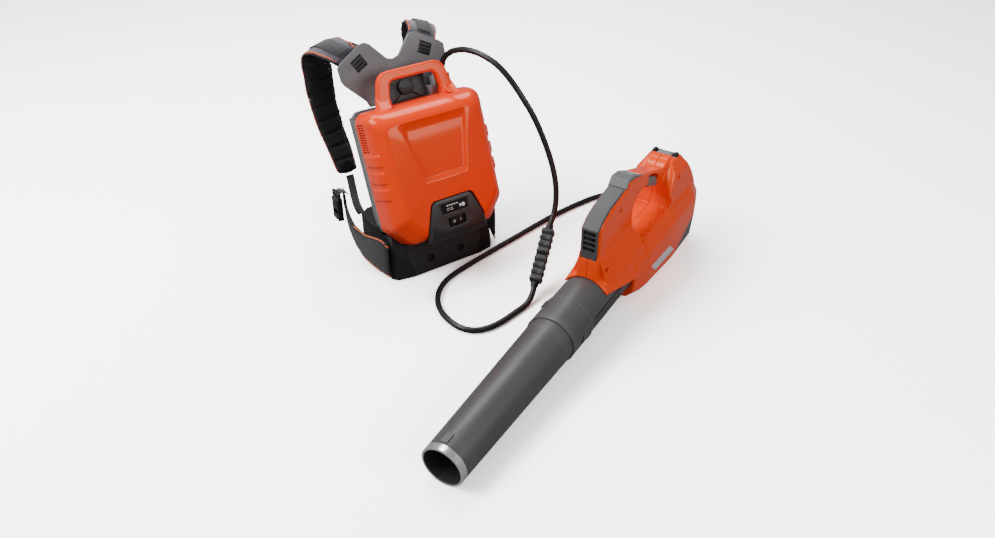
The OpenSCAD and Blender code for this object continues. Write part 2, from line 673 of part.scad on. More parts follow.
module grip_insert() color(charcoal) blower_frame() difference() {
  side_plate(concat(insert_out, insert_in), -17, 17);
  for (k = [0:3]) translate([476, -12, 110 + k * 11]) cube([8.4, 24, 5]);
}

// Keypad face: tilted top of the grip with two round buttons
keypad_tilt = 26;
module keypad_axis(shift) translate([632, shift, 193.4]) rotate([0, keypad_tilt, 0]) children();
module keypad_panel() color(grey) blower_frame() difference() {
  side_plate(keypad_pts, -19, 19);
  for (v = [-9, 9]) keypad_axis(v) translate([0, 0, -20]) cylinder(r = 5.25, h = 40);
}
module keypad_button(v) color(black) blower_frame() keypad_axis(v) translate([0, 0, -3.5])
  cylinder(r = 5, h = 5.3);
module power_button() keypad_button(9);
module boost_button() keypad_button(-9);

trigger_side = [[668, 148], [671, 155], [677, 159.5], [690, 157.5], [712, 149], [727, 140],
  [733, 131], [732, 121], [726, 118.5], [706, 131.5], [690, 136], [675, 139]];
module trigger() color(grey) blower_frame() difference() {
  union() {
    side_plate(trigger_side, -10, 10);
    intersection() {
      side_plate(trigger_side, -19.6, 19.6);
      translate([690, -30, 100]) cube([60, 60, 80]);
    }
  }
  cross_rod(680, 158, 2.56, -30, 30);
  translate([696, -4.4, 138]) cube([12, 8.8, 24]);
}
module trigger_pin() color(steel) blower_frame() cross_rod(680, 158, 2.5, -14.8, 14.8);
module trigger_spring() color(steel) blower_frame() for (k = [0:3])
  translate([702, 0, 138.72 + k * 2.6]) rotate_extrude($fn = 24) translate([3, 0])
    circle(r = 0.7, $fn = 13);

module controller_board() color("darkgreen") blower_frame() {
  translate([752, -38, -64]) cube([96, 76, 1.8]);
  for (u = [760, 790, 820]) translate([u, -28, -62.2]) cube([18, 30, 14]);
}

module intake_grilles() color(grey) blower_frame() for (side = [0, 1]) mirror([0, side, 0])
  difference() {
    intersection() {
      body_form();
      grille_box();
    }
    body_form(-wall);
    for (k = [0:7]) intersection() {
      grille_box(-6);
      translate([740, 30, -56 + k * 9.4]) cube([144, 60, 3.6]);
    }
  }

// ---------- blower: fan and motor ----------

hub_r = 24;
fan_u = 672;
module stator() color(charcoal) blower_frame() {
  turned([[586, duct_bore_r - 0.05], [640, duct_bore_r - 0.05], [640, duct_bore_r - 2.4],
    [586, duct_bore_r - 2.4]]);
  turned([[552, 6], [560, 15], [575, 21], [586, hub_r], [662, hub_r], [662, hub_r - 2],
    [588, hub_r - 2], [577, 18], [563, 12], [555, 6]]);
  for (k = [0:6]) rotate([k * 360 / 7, 0, 0]) translate([590, -1.2, hub_r - 1])
    cube([44, 2.4, duct_bore_r - 2 - hub_r + 1]);
}
module motor_housing() color(grey) blower_frame() {
  turned([[590, 8.05], [590, 21.9], [660, 21.9], [660, 8.05], [657, 8.05], [657, 14],
    [596, 14], [596, 8.05]]);
}
module motor_bearings() color(steel) blower_frame() {
  turned([[590.5, 3.06], [590.5, 8], [595.5, 8], [595.5, 3.06]], 48);
  turned([[657.2, 3.06], [657.2, 8], [659.8, 8], [659.8, 3.06]], 48);
}
module rotor_shaft() color(steel) blower_frame() turned([[588.5, 0], [588.5, 3], [600, 3], [600, 13.4],
  [650, 13.4], [650, 3], [fan_u + 22, 3], [fan_u + 22, 0]], 48);
module fan_impeller() color(black) blower_frame() {
  turned([[fan_u - 5, 3], [fan_u - 5, 22], [fan_u + 16, 22], [fan_u + 24, 14], [fan_u + 26, 4],
    [fan_u + 22.1, 4], [fan_u + 22.1, 3]]);
  intersection() {
    for (k = [0:blades - 1]) rotate([k * 360 / blades, 0, 0]) translate([fan_u + 6, 0, 21])
      rotate([0, 0, 38]) translate([-11, -1.1, 0]) cube([22, 2.2, 30]);
    translate([fan_u - 10, 0, 0]) rotate([0, 90, 0]) cylinder(r = 45.2, h = 40, $fn = 72);
  }
}

// ---------- blower: plug adapter in the battery bay ----------

ball_local = [ball_u, 0, ball_w];
module plug_adapter() color(charcoal) blower_frame() difference() {
  union() {
    side_plate([[806, 44.4], [806, 141], [809, 145], [824, 145], [830, 140], [848, 112], [864, 96],
      [864, 44.4]], -27, 27);
    translate([860, -15, ball_w - 17]) cube([24, 30, 34]);
  }
  translate(ball_local) sphere(r = 11.3, $fn = 48);
  translate([ball_u - 5, -30, ball_w - 9.6]) cube([30, 60, 19.2]);
  // latch pockets at both top corners
  for (side = [-1, 1]) translate([816, side * 22.75, 139]) cube([15, 14.5, 30], center = true);
}
module latch(side) color(black) blower_frame() translate([809, side * 22.6 - 4, 124.6])
  cube([14, 8, 24]);
module latch_left() latch(1);
module latch_right() latch(-1);

// ---------- the assembly ----------

base_body();
base_plate();
base_screws();
rear_frame();
frame_screws();
yoke_plate();
shell_cover();
rear_cover();
cell_pack();
cell_end_plates();
control_board();
control_bezel();
display_window();
rocker_switch();
check_button();
lock_plate();
lock_knob();
cable_outlet();
pack_gland();
shoulder_pad_left();
shoulder_pad_right();
shoulder_webbing();
ladder_lock_left();
ladder_lock_right();
lower_webbing();
back_pad();
lumbar_pad();
hip_belt_left();
hip_belt_right();
buckle_socket();
buckle_tongue();
pack_cable();
connector_socket();
connector_plug();
blower_cable();
swivel_gland();
plug_adapter();
latch_left();
latch_right();
housing_left();
housing_right();
housing_screws();
grip_insert();
keypad_panel();
power_button();
boost_button();
trigger();
trigger_pin();
trigger_spring();
controller_board();
intake_grilles();
blower_duct();
stator();
motor_housing();
motor_bearings();
rotor_shaft();
fan_impeller();
nozzle_tube();
nozzle_ring();
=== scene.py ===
"""Looks for the backpack battery, its harness and the hand-held blower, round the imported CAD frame.

Lengths are in millimetres where a name says mm, and in metres everywhere else.
"""

import json
import math

import bmesh
import bpy
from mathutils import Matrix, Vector, noise
from mathutils.bvhtree import BVHTree
from mathutils.kdtree import KDTree

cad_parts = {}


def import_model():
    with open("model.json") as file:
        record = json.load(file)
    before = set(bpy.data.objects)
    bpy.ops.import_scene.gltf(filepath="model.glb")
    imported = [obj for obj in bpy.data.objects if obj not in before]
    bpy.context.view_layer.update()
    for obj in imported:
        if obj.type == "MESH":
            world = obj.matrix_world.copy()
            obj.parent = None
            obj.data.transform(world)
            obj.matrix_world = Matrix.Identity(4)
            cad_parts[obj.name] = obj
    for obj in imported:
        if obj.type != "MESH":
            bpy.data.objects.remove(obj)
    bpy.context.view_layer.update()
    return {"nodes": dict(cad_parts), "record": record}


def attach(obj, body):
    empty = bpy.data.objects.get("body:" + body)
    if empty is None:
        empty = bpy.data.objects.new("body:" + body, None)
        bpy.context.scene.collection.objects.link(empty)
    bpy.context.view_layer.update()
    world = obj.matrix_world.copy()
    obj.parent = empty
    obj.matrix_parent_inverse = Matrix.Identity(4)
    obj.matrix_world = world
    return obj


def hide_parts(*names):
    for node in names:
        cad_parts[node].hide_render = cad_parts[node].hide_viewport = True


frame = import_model()
nodes = frame["nodes"]

MM = 0.001
LEAN = math.radians(22.0)  # the pack's lean to the rear
HEADING = math.radians(23.7)  # the blower's axis: its heading, its rise and its mouth in mm
RISE = math.radians(3.3)
MOUTH = Vector((-325.0, -614.5, 40.4))
AXIS = Vector((math.cos(HEADING) * math.cos(RISE), math.sin(HEADING) * math.cos(RISE), math.sin(RISE)))
LEFT = Vector((-math.sin(HEADING), math.cos(HEADING), 0.0))
UPWARD = AXIS.cross(LEFT)


def lean(x, n, s):
    """Metres, from the pack's own frame in mm: across, out of the front, up the leaning face."""
    return Vector((x, -n * math.cos(LEAN) + s * math.sin(LEAN), n * math.sin(LEAN) + s * math.cos(LEAN))) * MM


def blow(u, v, w):
    """Metres, from the blower's own frame in mm: from the mouth to the rear, left, up."""
    return (MOUTH + u * AXIS + v * LEFT + w * UPWARD) * MM


def world(x, y, z):
    return Vector((x, y, z)) * MM


# ---------- camera and light ----------

CAMERA_AT = (-0.7943, -1.465, 1.094)
CAMERA_TURN = (math.radians(55.0), 0.0, math.radians(-34.0))
LENS_MM, SENSOR_MM = 32.563, 36.0
SKY_STRENGTH = 0.36
LIGHTS = (  # name, place, target, size, power in watts
    ("key", (-1.9, 0.4, 2.2), (0.0, -0.2, 0.1), (1.5, 1.5), 76.0),
    ("top", (0.3, 0.9, 2.3), (0.1, -0.2, 0.1), (2.2, 0.8), 46.0),
    ("front", (0.7, -2.6, 1.5), (0.2, -0.2, 0.1), (1.6, 0.9), 30.0))


def placed(name, data):
    """A new object of the data, in the scene."""
    made = bpy.data.objects.new(name, data)
    bpy.context.scene.collection.objects.link(made)
    return made


camera_data = bpy.data.cameras.new("camera")
camera_data.lens = LENS_MM
camera_data.sensor_width = SENSOR_MM
camera = placed("camera", camera_data)
camera.location = CAMERA_AT
camera.rotation_euler = CAMERA_TURN
bpy.context.scene.camera = camera

sky = bpy.data.worlds.new("sky")
sky.use_nodes = True
sky.node_tree.nodes["Background"].inputs["Color"].default_value = (1.0, 1.0, 1.0, 1.0)
sky.node_tree.nodes["Background"].inputs["Strength"].default_value = SKY_STRENGTH
bpy.context.scene.world = sky

for name, place, target, size, power in LIGHTS:
    data = bpy.data.lights.new(name, "AREA")
    data.shape = "RECTANGLE"
    data.size, data.size_y = size
    data.energy = power
    lamp = placed(name, data)
    lamp.location = place
    lamp.rotation_euler = (Vector(target) - Vector(place)).to_track_quat("-Z", "Y").to_euler()

# ---------- materials ----------

EDGE_FROM, EDGE_TO = 0.51, 0.60  # pointiness where wear on an edge starts, and where it is full
COAT_ROUGHNESS = 0.06
METALLIC = 0.95
GRAIN_LIFT, BRUSH_LIFT, SLUB_LIFT, THREAD_LIFT = 0.0004, 0.0003, 0.0012, 0.0005  # bump distances


class Look:
    """A node material under construction: a principled shader, its noise inputs and its bump."""

    def __init__(self, name):
        self.material = bpy.data.materials.new(name)
        self.material.use_nodes = True
        self.tree = self.material.node_tree
        self.shader = self.tree.nodes["Principled BSDF"]
        self.place = self.tree.nodes.new("ShaderNodeTexCoord").outputs["Object"]

    def node(self, kind, **values):
        made = self.tree.nodes.new(kind)
        for key, value in values.items():
            if key in made.inputs:
                made.inputs[key].default_value = value
            else:
                setattr(made, key, value)
        return made

    def link(self, out, into):
        self.tree.links.new(out, into)

    def set(self, key, value):
        """Gives a shader input a number, a colour or another node's output."""
        if isinstance(value, bpy.types.NodeSocket):
            self.link(value, self.shader.inputs[key])
        else:
            self.shader.inputs[key].default_value = value

    def noise(self, scale, detail=3.0):
        made = self.node("ShaderNodeTexNoise", Scale=scale, Detail=detail, Roughness=0.55)
        self.link(self.place, made.inputs["Vector"])
        return made.outputs["Fac"]

    def ramp(self, value, low, high, first, second):
        made = self.node("ShaderNodeMapRange")
        for key, number in (("From Min", low), ("From Max", high), ("To Min", first), ("To Max", second)):
            made.inputs[key].default_value = number
        self.link(value, made.inputs["Value"])
        return made.outputs["Result"]

    def mix(self, factor, first, second):
        made = self.node("ShaderNodeMix", data_type="RGBA")
        self.link(factor, made.inputs["Factor"])
        for slot_name, value in (("A", first), ("B", second)):
            target = [i for i in made.inputs if i.name == slot_name and i.type == "RGBA"][0]
            if isinstance(value, tuple):
                target.default_value = (*value, 1.0)
            else:
                self.link(value, target)
        return [o for o in made.outputs if o.type == "RGBA"][0]

    def bump(self, height, strength, distance):
        made = self.node("ShaderNodeBump", Strength=strength, Distance=distance)
        self.link(height, made.inputs["Height"])
        before = self.shader.inputs["Normal"].links
        if before:
            self.link(before[0].from_socket, made.inputs["Normal"])
        self.link(made.outputs["Normal"], self.shader.inputs["Normal"])

    def edges(self):
        """Where the surface turns a sharp convex edge, from the render's own geometry."""
        made = self.node("ShaderNodeNewGeometry")
        return self.ramp(made.outputs["Pointiness"], EDGE_FROM, EDGE_TO, 0.0, 1.0)


def shade(color, factor):
    return tuple(min(1.0, c * factor) for c in color)


def moulded(name, color, rough, grain, depth, coat=0.0, worn=1.35, mottle=0.9, shine=0.5, tint=(1.0,) * 3):
    """Injection-moulded plastic: fine grain, slight colour drift, paler rubbed edges."""
    look = Look(name)
    drift = look.mix(look.noise(9.0), shade(color, mottle), shade(color, 1.06))
    look.set("Base Color", look.mix(look.edges(), drift, shade(color, worn)))
    look.set("Roughness", look.ramp(look.noise(14.0), 0.3, 0.7, rough * 0.9, rough * 1.12))
    look.set("Coat Weight", coat)
    look.set("Specular IOR Level", shine)
    look.set("Specular Tint", (*tint, 1.0))
    look.set("Coat Roughness", COAT_ROUGHNESS)
    look.bump(look.noise(grain, 2.0), depth, GRAIN_LIFT)
    return look.material


def metal(name, color, rough, streak):
    """Brushed or plain metal: noise stretched by the streak numbers drives colour, gloss and bump."""
    look = Look(name)
    stretched = look.node("ShaderNodeMapping")
    stretched.inputs["Scale"].default_value = (streak, streak, 8.0)
    look.link(look.place, stretched.inputs["Vector"])
    brushed = look.node("ShaderNodeTexNoise", Scale=60.0, Detail=4.0)
    look.link(stretched.outputs["Vector"], brushed.inputs["Vector"])
    look.set("Base Color", look.mix(brushed.outputs["Fac"], shade(color, 0.85), color))
    look.set("Roughness", look.ramp(brushed.outputs["Fac"], 0.3, 0.7, rough * 0.8, rough * 1.3))
    look.set("Metallic", METALLIC)
    look.bump(brushed.outputs["Fac"], 0.12, BRUSH_LIFT)
    return look.material


def woven(name, color, threads, depth, sheen, rough=0.85, second=None):
    """Cloth: two crossed sets of threads in the piece's own space, with slub and sheen."""
    look = Look(name)
    heights = []
    for turn in ((0.35, 0.0, 0.0), (0.0, 0.5, 1.5708)):
        turned = look.node("ShaderNodeMapping")
        turned.inputs["Rotation"].default_value = turn
        look.link(look.place, turned.inputs["Vector"])
        thread = look.node("ShaderNodeTexWave", Scale=threads, Distortion=1.2, Detail=1.0)
        thread.inputs["Detail Scale"].default_value = 3.0
        look.link(turned.outputs["Vector"], thread.inputs["Vector"])
        heights.append(thread.outputs["Fac"])
    crossed = look.node("ShaderNodeMath", operation="MAXIMUM")
    look.link(heights[0], crossed.inputs[0])
    look.link(heights[1], crossed.inputs[1])
    base = look.mix(look.noise(18.0), shade(color, 0.72), second or shade(color, 1.3))
    look.set("Base Color", look.mix(crossed.outputs[0], shade(color, 0.55), base))
    look.set("Roughness", rough)
    look.set("Sheen Weight", sheen)
    look.set("Sheen Roughness", 0.5)
    look.bump(look.noise(60.0), 0.25, SLUB_LIFT)
    look.bump(crossed.outputs[0], depth, THREAD_LIFT)
    return look.material


ORANGE = (0.96, 0.043, 0.0)
ORANGE_SHINE = (1.0, 0.35, 0.12)
PLASTICS = {  # colour, roughness, scale and depth of the grain, and what else differs
    "orange_shell": (ORANGE, 0.2, 900.0, 0.02, dict(coat=0.22, worn=1.1, mottle=0.97, tint=ORANGE_SHINE)),
    "orange_housing": ((0.97, 0.06, 0.0), 0.26, 1100.0, 0.04, dict(coat=0.18, worn=1.15, tint=ORANGE_SHINE)),
    "frame_grey": ((0.13, 0.132, 0.138), 0.48, 1300.0, 0.22, {}),
    "cover_grey": ((0.15, 0.152, 0.158), 0.42, 1300.0, 0.2, {}),
    "base_plastic": ((0.013, 0.013, 0.014), 0.5, 1500.0, 0.3, dict(shine=0.25)),
    "bezel_plastic": ((0.02, 0.02, 0.022), 0.36, 1300.0, 0.12, dict(shine=0.35)),
    "black_plastic": ((0.01, 0.01, 0.011), 0.38, 1100.0, 0.15, dict(shine=0.3)),
    "switch_black": ((0.008, 0.008, 0.009), 0.45, 900.0, 0.06, dict(shine=0.15)),
    "button_black": ((0.02, 0.02, 0.021), 0.42, 1200.0, 0.15, {}),
    "button_white": ((0.75, 0.75, 0.75), 0.4, 1200.0, 0.05, dict(worn=1.0)),
    "cable_rubber": ((0.011, 0.011, 0.012), 0.34, 700.0, 0.12, dict(worn=1.15, shine=0.4)),
    "connector_plastic": ((0.009, 0.009, 0.01), 0.42, 1200.0, 0.25, dict(shine=0.4)),
    "grip_rubber": ((0.06, 0.061, 0.064), 0.52, 1600.0, 0.3, {}),
    "keypad_plastic": ((0.10, 0.102, 0.106), 0.45, 1400.0, 0.2, {}),
    "trigger_grey": ((0.13, 0.132, 0.136), 0.45, 1400.0, 0.2, {}),
    "grille_grey": ((0.12, 0.122, 0.128), 0.45, 1300.0, 0.2, {}),
    "duct_plastic": ((0.062, 0.063, 0.066), 0.4, 1500.0, 0.22, {}),
    "display": ((0.006, 0.006, 0.007), 0.4, 600.0, 0.0, dict(worn=1.0, shine=0.1)),
    "circuit_board": ((0.02, 0.16, 0.06), 0.4, 400.0, 0.2, {}),
    "insulator": ((0.75, 0.72, 0.62), 0.6, 600.0, 0.1, {}),
    "mark_white": ((0.85, 0.85, 0.85), 0.5, 800.0, 0.02, dict(worn=1.0)),
    "label_pale": ((0.62, 0.62, 0.65), 0.35, 500.0, 0.03, dict(worn=1.0)),
    "keypad_pale": ((0.27, 0.272, 0.28), 0.4, 1400.0, 0.1, dict(worn=1.0)),
    # shadow: painted shade, a near-black look for plates and liners put in slots and bores where only shade
    # falls
    "shadow": ((0.004, 0.004, 0.004), 0.8, 400.0, 0.05, dict(worn=1.0)),
}
METALS = {  # colour, roughness, streak
    "dark_screw": ((0.10, 0.10, 0.11), 0.4, 1.0, {}),
    "steel": ((0.62, 0.63, 0.65), 0.28, 1.0, {}),
    "motor_metal": ((0.4, 0.41, 0.43), 0.35, 1.0, {}),
    "ring_metal": ((0.88, 0.88, 0.9), 0.2, 0.2, {}),
    "cell": ((0.12, 0.24, 0.4), 0.35, 0.4, {}),
}
FABRICS = {  # colour, threads per metre, depth of the weave, sheen, and what else differs
    "pad_fabric": ((0.007, 0.007, 0.008), 420.0, 0.5, 0.12, {}),
    "belt_fabric": ((0.02, 0.02, 0.022), 520.0, 0.5, 0.2, {}),
    "strap_fabric": ((0.10, 0.088, 0.118), 520.0, 0.45, 0.6, dict(second=(0.17, 0.15, 0.19))),
    "webbing": ((0.035, 0.034, 0.04), 620.0, 0.8, 0.35, {}),
    "piping": ((0.85, 0.13, 0.015), 700.0, 0.4, 0.3, dict(rough=0.7)),
}
looks = {name: maker(name, *values, **more)
         for maker, table in ((moulded, PLASTICS), (metal, METALS), (woven, FABRICS))
         for name, (*values, more) in table.items()}


def paper(name, brightness):
    """Plain studio paper, lit brightly enough at the given brightness to come out near white."""
    look = Look(name)
    diffuse = look.node("ShaderNodeBsdfDiffuse")
    shades = [(brightness * k,) * 3 for k in (0.985, 1.0)]
    look.link(look.mix(look.noise(3.0), *shades), diffuse.inputs["Color"])
    look.link(diffuse.outputs["BSDF"], look.tree.nodes["Material Output"].inputs["Surface"])
    return look.material


FLOOR_BRIGHTNESS, BOUNCE_BRIGHTNESS = 3.4, 0.82  # what the camera sees, and what lights the object
floor_look = paper("floor_look", FLOOR_BRIGHTNESS)
bounce_look = paper("bounce_look", BOUNCE_BRIGHTNESS)

slots = {row["node"]: row["material_slot"] for row in frame["record"]["subparts"]}

# ---------- mesh helpers ----------

BEVEL_ANGLE = math.radians(28.0)
TURN_SIDES = 96
SMOOTH_FACTOR = 0.5


def smoothed(mesh):
    for polygon in mesh.polygons:
        polygon.use_smooth = True
        polygon.material_index = 0


def piece_from(name, form, look):
    """A smooth piece of one look from a bmesh, which is freed."""
    mesh = bpy.data.meshes.new(name)
    form.to_mesh(mesh)
    form.free()
    mesh.materials.append(looks[look])
    smoothed(mesh)
    return placed(name, mesh)


def new_piece(name, verts, faces, look):
    mesh = bpy.data.meshes.new(name)
    mesh.from_pydata([tuple(v) for v in verts], [], faces)
    form = bmesh.new()
    form.from_mesh(mesh)
    bpy.data.meshes.remove(mesh)
    bmesh.ops.recalc_face_normals(form, faces=form.faces)
    return piece_from(name, form, look)


def loft(name, rings, look, caps=True):
    """Skin through rings of equal length, closed at both ends if it has caps."""
    count = len(rings[0])
    verts = [p for ring in rings for p in ring]
    faces = [(k + i, k + (i + 1) % count, k + count + (i + 1) % count, k + count + i)
             for k in range(0, len(verts) - count, count) for i in range(count)]
    if caps:
        faces += [tuple(range(count)), tuple(range(len(verts) - count, len(verts)))]
    return new_piece(name, verts, faces, look)


def prism(name, outline, low, high, place, look="shadow", bevel=0.0, steps=3):
    """Outline of (a, b) in mm, extruded from low to high, put in the world by place(a, b, c)."""
    count = len(outline)
    verts = [place(a, b, c) for c in (low, high) for a, b in outline]
    faces = [tuple(range(count)), tuple(range(count, 2 * count))]
    faces += [(i, (i + 1) % count, count + (i + 1) % count, count + i) for i in range(count)]
    made = new_piece(name, verts, faces, look)
    return rounded(made, bevel, steps) if bevel else made


def box_part(low, high, place):
    """Plain box, to be cut out of a piece or joined to others."""
    (a0, b0, c0), (a1, b1, c1) = low, high
    return prism("part", [(a0, b0), (a1, b0), (a1, b1), (a0, b1)], c0, c1, place)


def circle(radius, turns, sides=32, centre=(0.0, 0.0)):
    """Points of a circle, at those of its sides' corners that turns lists."""
    angles = [math.tau * k / sides for k in turns]
    return [(centre[0] + radius * math.cos(angle), centre[1] + radius * math.sin(angle)) for angle in angles]


def rounded(piece, width, steps=3):
    """Rounds a piece's sharp edges by a bevel of that width in mm."""
    made = piece.modifiers.new("edges", "BEVEL")
    made.width = width * MM
    made.segments = steps
    made.limit_method = "ANGLE"
    made.angle_limit = BEVEL_ANGLE
    made.harden_normals = True
    return piece


def turned(name, profile, look):
    """Revolved about the blower's axis from (u, r) points in mm."""
    rings = [[blow(u, *point) for point in circle(r, range(TURN_SIDES), TURN_SIDES)] for u, r in profile]
    return loft(name, rings, look, caps=False)


def spline(points, steps):
    """Catmull-Rom curve through points, as tuples of any length."""
    out = []
    for i in range(len(points) - 1):
        a, b = points[max(i - 1, 0)], points[i]
        c, d = points[i + 1], points[min(i + 2, len(points) - 1)]
        for k in range(steps):
            t = k / steps
            out.append(tuple(0.5 * (2 * q + (r - p) * t + (2 * p - 5 * q + 4 * r - z) * t * t
                                    + (3 * q - p - 3 * r + z) * t ** 3)
                             for p, q, r, z in zip(a, b, c, d)))
    out.append(tuple(points[-1]))
    return out


def curve(name, points, radius, look, sides):
    """Round cord along points in metres."""
    data = bpy.data.curves.new(name, "CURVE")
    data.dimensions = "3D"
    data.bevel_depth = radius
    data.bevel_resolution = sides // 2
    data.use_fill_caps = True
    line = data.splines.new("POLY")
    line.points.add(len(points) - 1)
    for target, point in zip(line.points, points):
        target.co = (*point, 1.0)
    data.materials.append(looks[look])
    return placed(name, data)


def applied(piece):
    """The piece with its modifiers made part of its mesh."""
    graph = bpy.context.evaluated_depsgraph_get()
    mesh = bpy.data.meshes.new_from_object(piece.evaluated_get(graph))
    piece.modifiers.clear()
    old = piece.data
    piece.data = mesh
    bpy.data.meshes.remove(old)
    smoothed(mesh)
    return piece


def gathered(parts):
    """One bmesh of several pieces' finished meshes, in the world's frame."""
    form = bmesh.new()
    graph = bpy.context.evaluated_depsgraph_get()
    for part in parts:
        mesh = bpy.data.meshes.new_from_object(part.evaluated_get(graph))
        mesh.transform(part.matrix_world)
        form.from_mesh(mesh)
        bpy.data.meshes.remove(mesh)
    return form


def joined(name, parts, look="shadow"):
    """One piece from several, which are removed."""
    form = gathered(parts)
    for part in parts:
        bpy.data.objects.remove(part)
    return piece_from(name, form, look)


def carve(piece, cutters):
    """Cuts closed meshes out of a piece, and removes the cutters."""
    tool = joined("cutters", cutters)
    made = piece.modifiers.new("cut", "BOOLEAN")
    made.operation = "DIFFERENCE"
    made.solver = "EXACT"
    made.use_self = True
    made.object = tool
    applied(piece)
    bpy.data.objects.remove(tool)
    return piece


def sharp_edges(piece, angle):
    """Smooth shading that keeps edges sharper than the angle."""
    made = bmesh.new()
    made.from_mesh(piece.data)
    for edge in made.edges:
        if len(edge.link_faces) == 2 and edge.calc_face_angle(0.0) > math.radians(angle):
            edge.smooth = False
    made.to_mesh(piece.data)
    made.free()
    return piece


def softened(piece, passes):
    """Adds smoothing passes to the piece and applies all its modifiers."""
    soft = piece.modifiers.new("soft", "SMOOTH")
    soft.factor = SMOOTH_FACTOR
    soft.iterations = passes
    return applied(piece)


def melted(piece, voxel, passes):
    """Voxel remesh, then smoothing, so that a union of plain shapes becomes one moulded form."""
    made = piece.modifiers.new("voxels", "REMESH")
    made.mode = "VOXEL"
    made.voxel_size = voxel * MM
    return softened(piece, passes)


def add(piece, body, slot_name, *stands_for):
    """Parents a finished piece to its body and hides the CAD nodes that it stands for; its material slot is
    not used.
    """
    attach(piece, body)
    if stands_for:
        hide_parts(*stands_for)
    return piece


# ---------- cords ----------

pack_route = [(90, 48, 386), (93, 39, 401), (98, 22, 415), (104, -1, 425), (112, -30, 430),
              (122, -61, 427), (132, -88, 417), (141, -109, 401), (149, -127, 382), (158, -141, 360),
              (168, -153, 336), (177, -163, 311), (185, -172, 284), (192, -181, 256), (197, -190, 228),
              (199, -200, 199), (197, -209, 172), (189, -219, 144), (178, -226, 124), (167, -232, 112)]
connector_top = Vector((167, -232, 112))
connector_dir = Vector((0.612, 0.451, 0.649))
connector_low = connector_top - connector_dir * 134
stem_yaw = HEADING + math.radians(20)
stem_dir = Vector((math.cos(stem_yaw), math.sin(stem_yaw), -0.16)).normalized()
ball = MOUTH + 878 * AXIS + 85 * UPWARD
stem_end = ball + stem_dir * 46
blower_route = [tuple(connector_low), (76, -300, 16), (60, -309, 9), (42, -315, 6.5), (18, -321, 6.2),
                (-16, -329, 6.2), (-49, -331, 6.2), (-76, -323, 6.2), (-94, -302, 6.2), (-101, -270, 6.2),
                (-99, -236, 6.2), (-88, -204, 6.2), (-69, -177, 6.2), (-42, -155, 6.2), (-10, -141, 6.2),
                (28, -131, 6.2), (68, -121, 6.2), (115, -110, 6.2), (172, -98, 6.2), (230, -85, 6.2),
                (291, -73, 6.2), (352, -64, 6.2), (408, -60, 6.2), (436, -60, 6.2), (459, -64, 6.2),
                (485, -72, 7.5), (508, -82, 12), (527, -97, 24), (541, -114, 43), (549, -133, 66),
                (552, -154, 92), (549, -175, 117), (542, -196, 139), (530, -214, 155), (517, -226, 164),
                tuple(stem_end)]
CABLE_R = 0.006


def cable(name, route, node):
    points = [world(*p) for p in spline(route, 5)]
    piece = curve(name, points, CABLE_R, "cable_rubber", 12)
    add(piece, "backpack", "cable_rubber", node)
    return piece, points, sum((b - a).length for a, b in zip(points, points[1:]))


pack_cord, pack_points, pack_length = cable("pack_cord", pack_route, "pack_cable")
blower_cord, blower_points, blower_length = cable("blower_cord", blower_route, "blower_cable")

# ---------- CAD nodes that keep their own shape ----------

for node_name, piece in nodes.items():
    node_look = looks[slots[node_name]]
    for index in range(len(piece.data.materials)):
        piece.data.materials[index] = node_look
    if not piece.data.materials:
        piece.data.materials.append(node_look)

WELD_DISTANCE = 0.00002
EDGE_WIDTHS = {  # bevels in mm
    "yoke_plate": 2.2, "base_plate": 0.8, "rear_frame": 1.5, "control_bezel": 2.0, "lock_plate": 1.2,
    "rocker_switch": 0.6, "cable_outlet": 1.6, "ladder_lock_left": 0.7, "ladder_lock_right": 0.7,
    "buckle_socket": 1.6, "buckle_tongue": 1.0, "trigger": 2.4, "plug_adapter": 2.0,
    "latch_left": 1.2, "latch_right": 1.2, "intake_grilles": 0.8, "lock_knob": 0.8, "base_body": 2.4,
    "connector_socket": 0.8, "connector_plug": 0.8,
}
for node_name, width in EDGE_WIDTHS.items():
    piece = nodes[node_name]
    weld = piece.modifiers.new("weld", "WELD")
    weld.merge_threshold = WELD_DISTANCE
    rounded(piece, width)
    for polygon in piece.data.polygons:
        polygon.use_smooth = True

# ---------- battery cover ----------


ARC_STEPS = 7
SPANS = (22, 6, 100, 26, 100, 6)  # points on each straight run: bottom, chamfer, side, top, side, chamfer


def rounded_outline(hw, low, high, chamfer, r):
    """Ring of (x, s) points with the same count at every level, from the bottom left corner round."""
    wide, rise = hw - chamfer, low + chamfer * 1.15
    corners = [Vector(c) for c in ((-wide, low), (wide, low), (hw, rise), (hw, high),
                                   (-hw, high), (-hw, rise))]
    bends = []
    for i, here in enumerate(corners):
        before = (corners[i - 1] - here).normalized()
        after = (corners[(i + 1) % 6] - here).normalized()
        half = math.acos(max(-1.0, min(1.0, before.dot(after)))) / 2
        bends.append((here, before, after, half, r / math.tan(half)))
    ring = []
    for i, (here, before, after, half, reach) in enumerate(bends):
        centre = here + (before + after).normalized() * (r / math.sin(half))
        first, last = here + before * reach - centre, here + after * reach - centre
        start = math.atan2(first.y, first.x)
        sign = 1 if first.x * last.y - first.y * last.x > 0 else -1
        for k in range(ARC_STEPS + 1):
            angle = start + sign * (math.pi - 2 * half) * k / ARC_STEPS
            ring.append((centre.x + r * math.cos(angle), centre.y + r * math.sin(angle)))
        ahead = bends[(i + 1) % 6]
        begin, end = here + after * reach, ahead[0] - after * ahead[4]
        for k in range(1, SPANS[i]):
            point = begin.lerp(end, k / SPANS[i])
            ring.append((point.x, point.y))
    return ring


def soft_step(x, low, high):
    t = max(0.0, min(1.0, (x - low) / (high - low)))
    return t * t * (3 - 2 * t)


RECESS_DEPTH, RIB_HEIGHT, LEDGE_DEPTH = 5.4, 3.4, 2.2
RIBS_AT = (226, 192, 158)
CENTRE_S = 180.0
FRONT_N, CROWN, FRONT_STEPS = 181.6, 1.9, 46  # the front face's rim, its bulge, and the rings across it


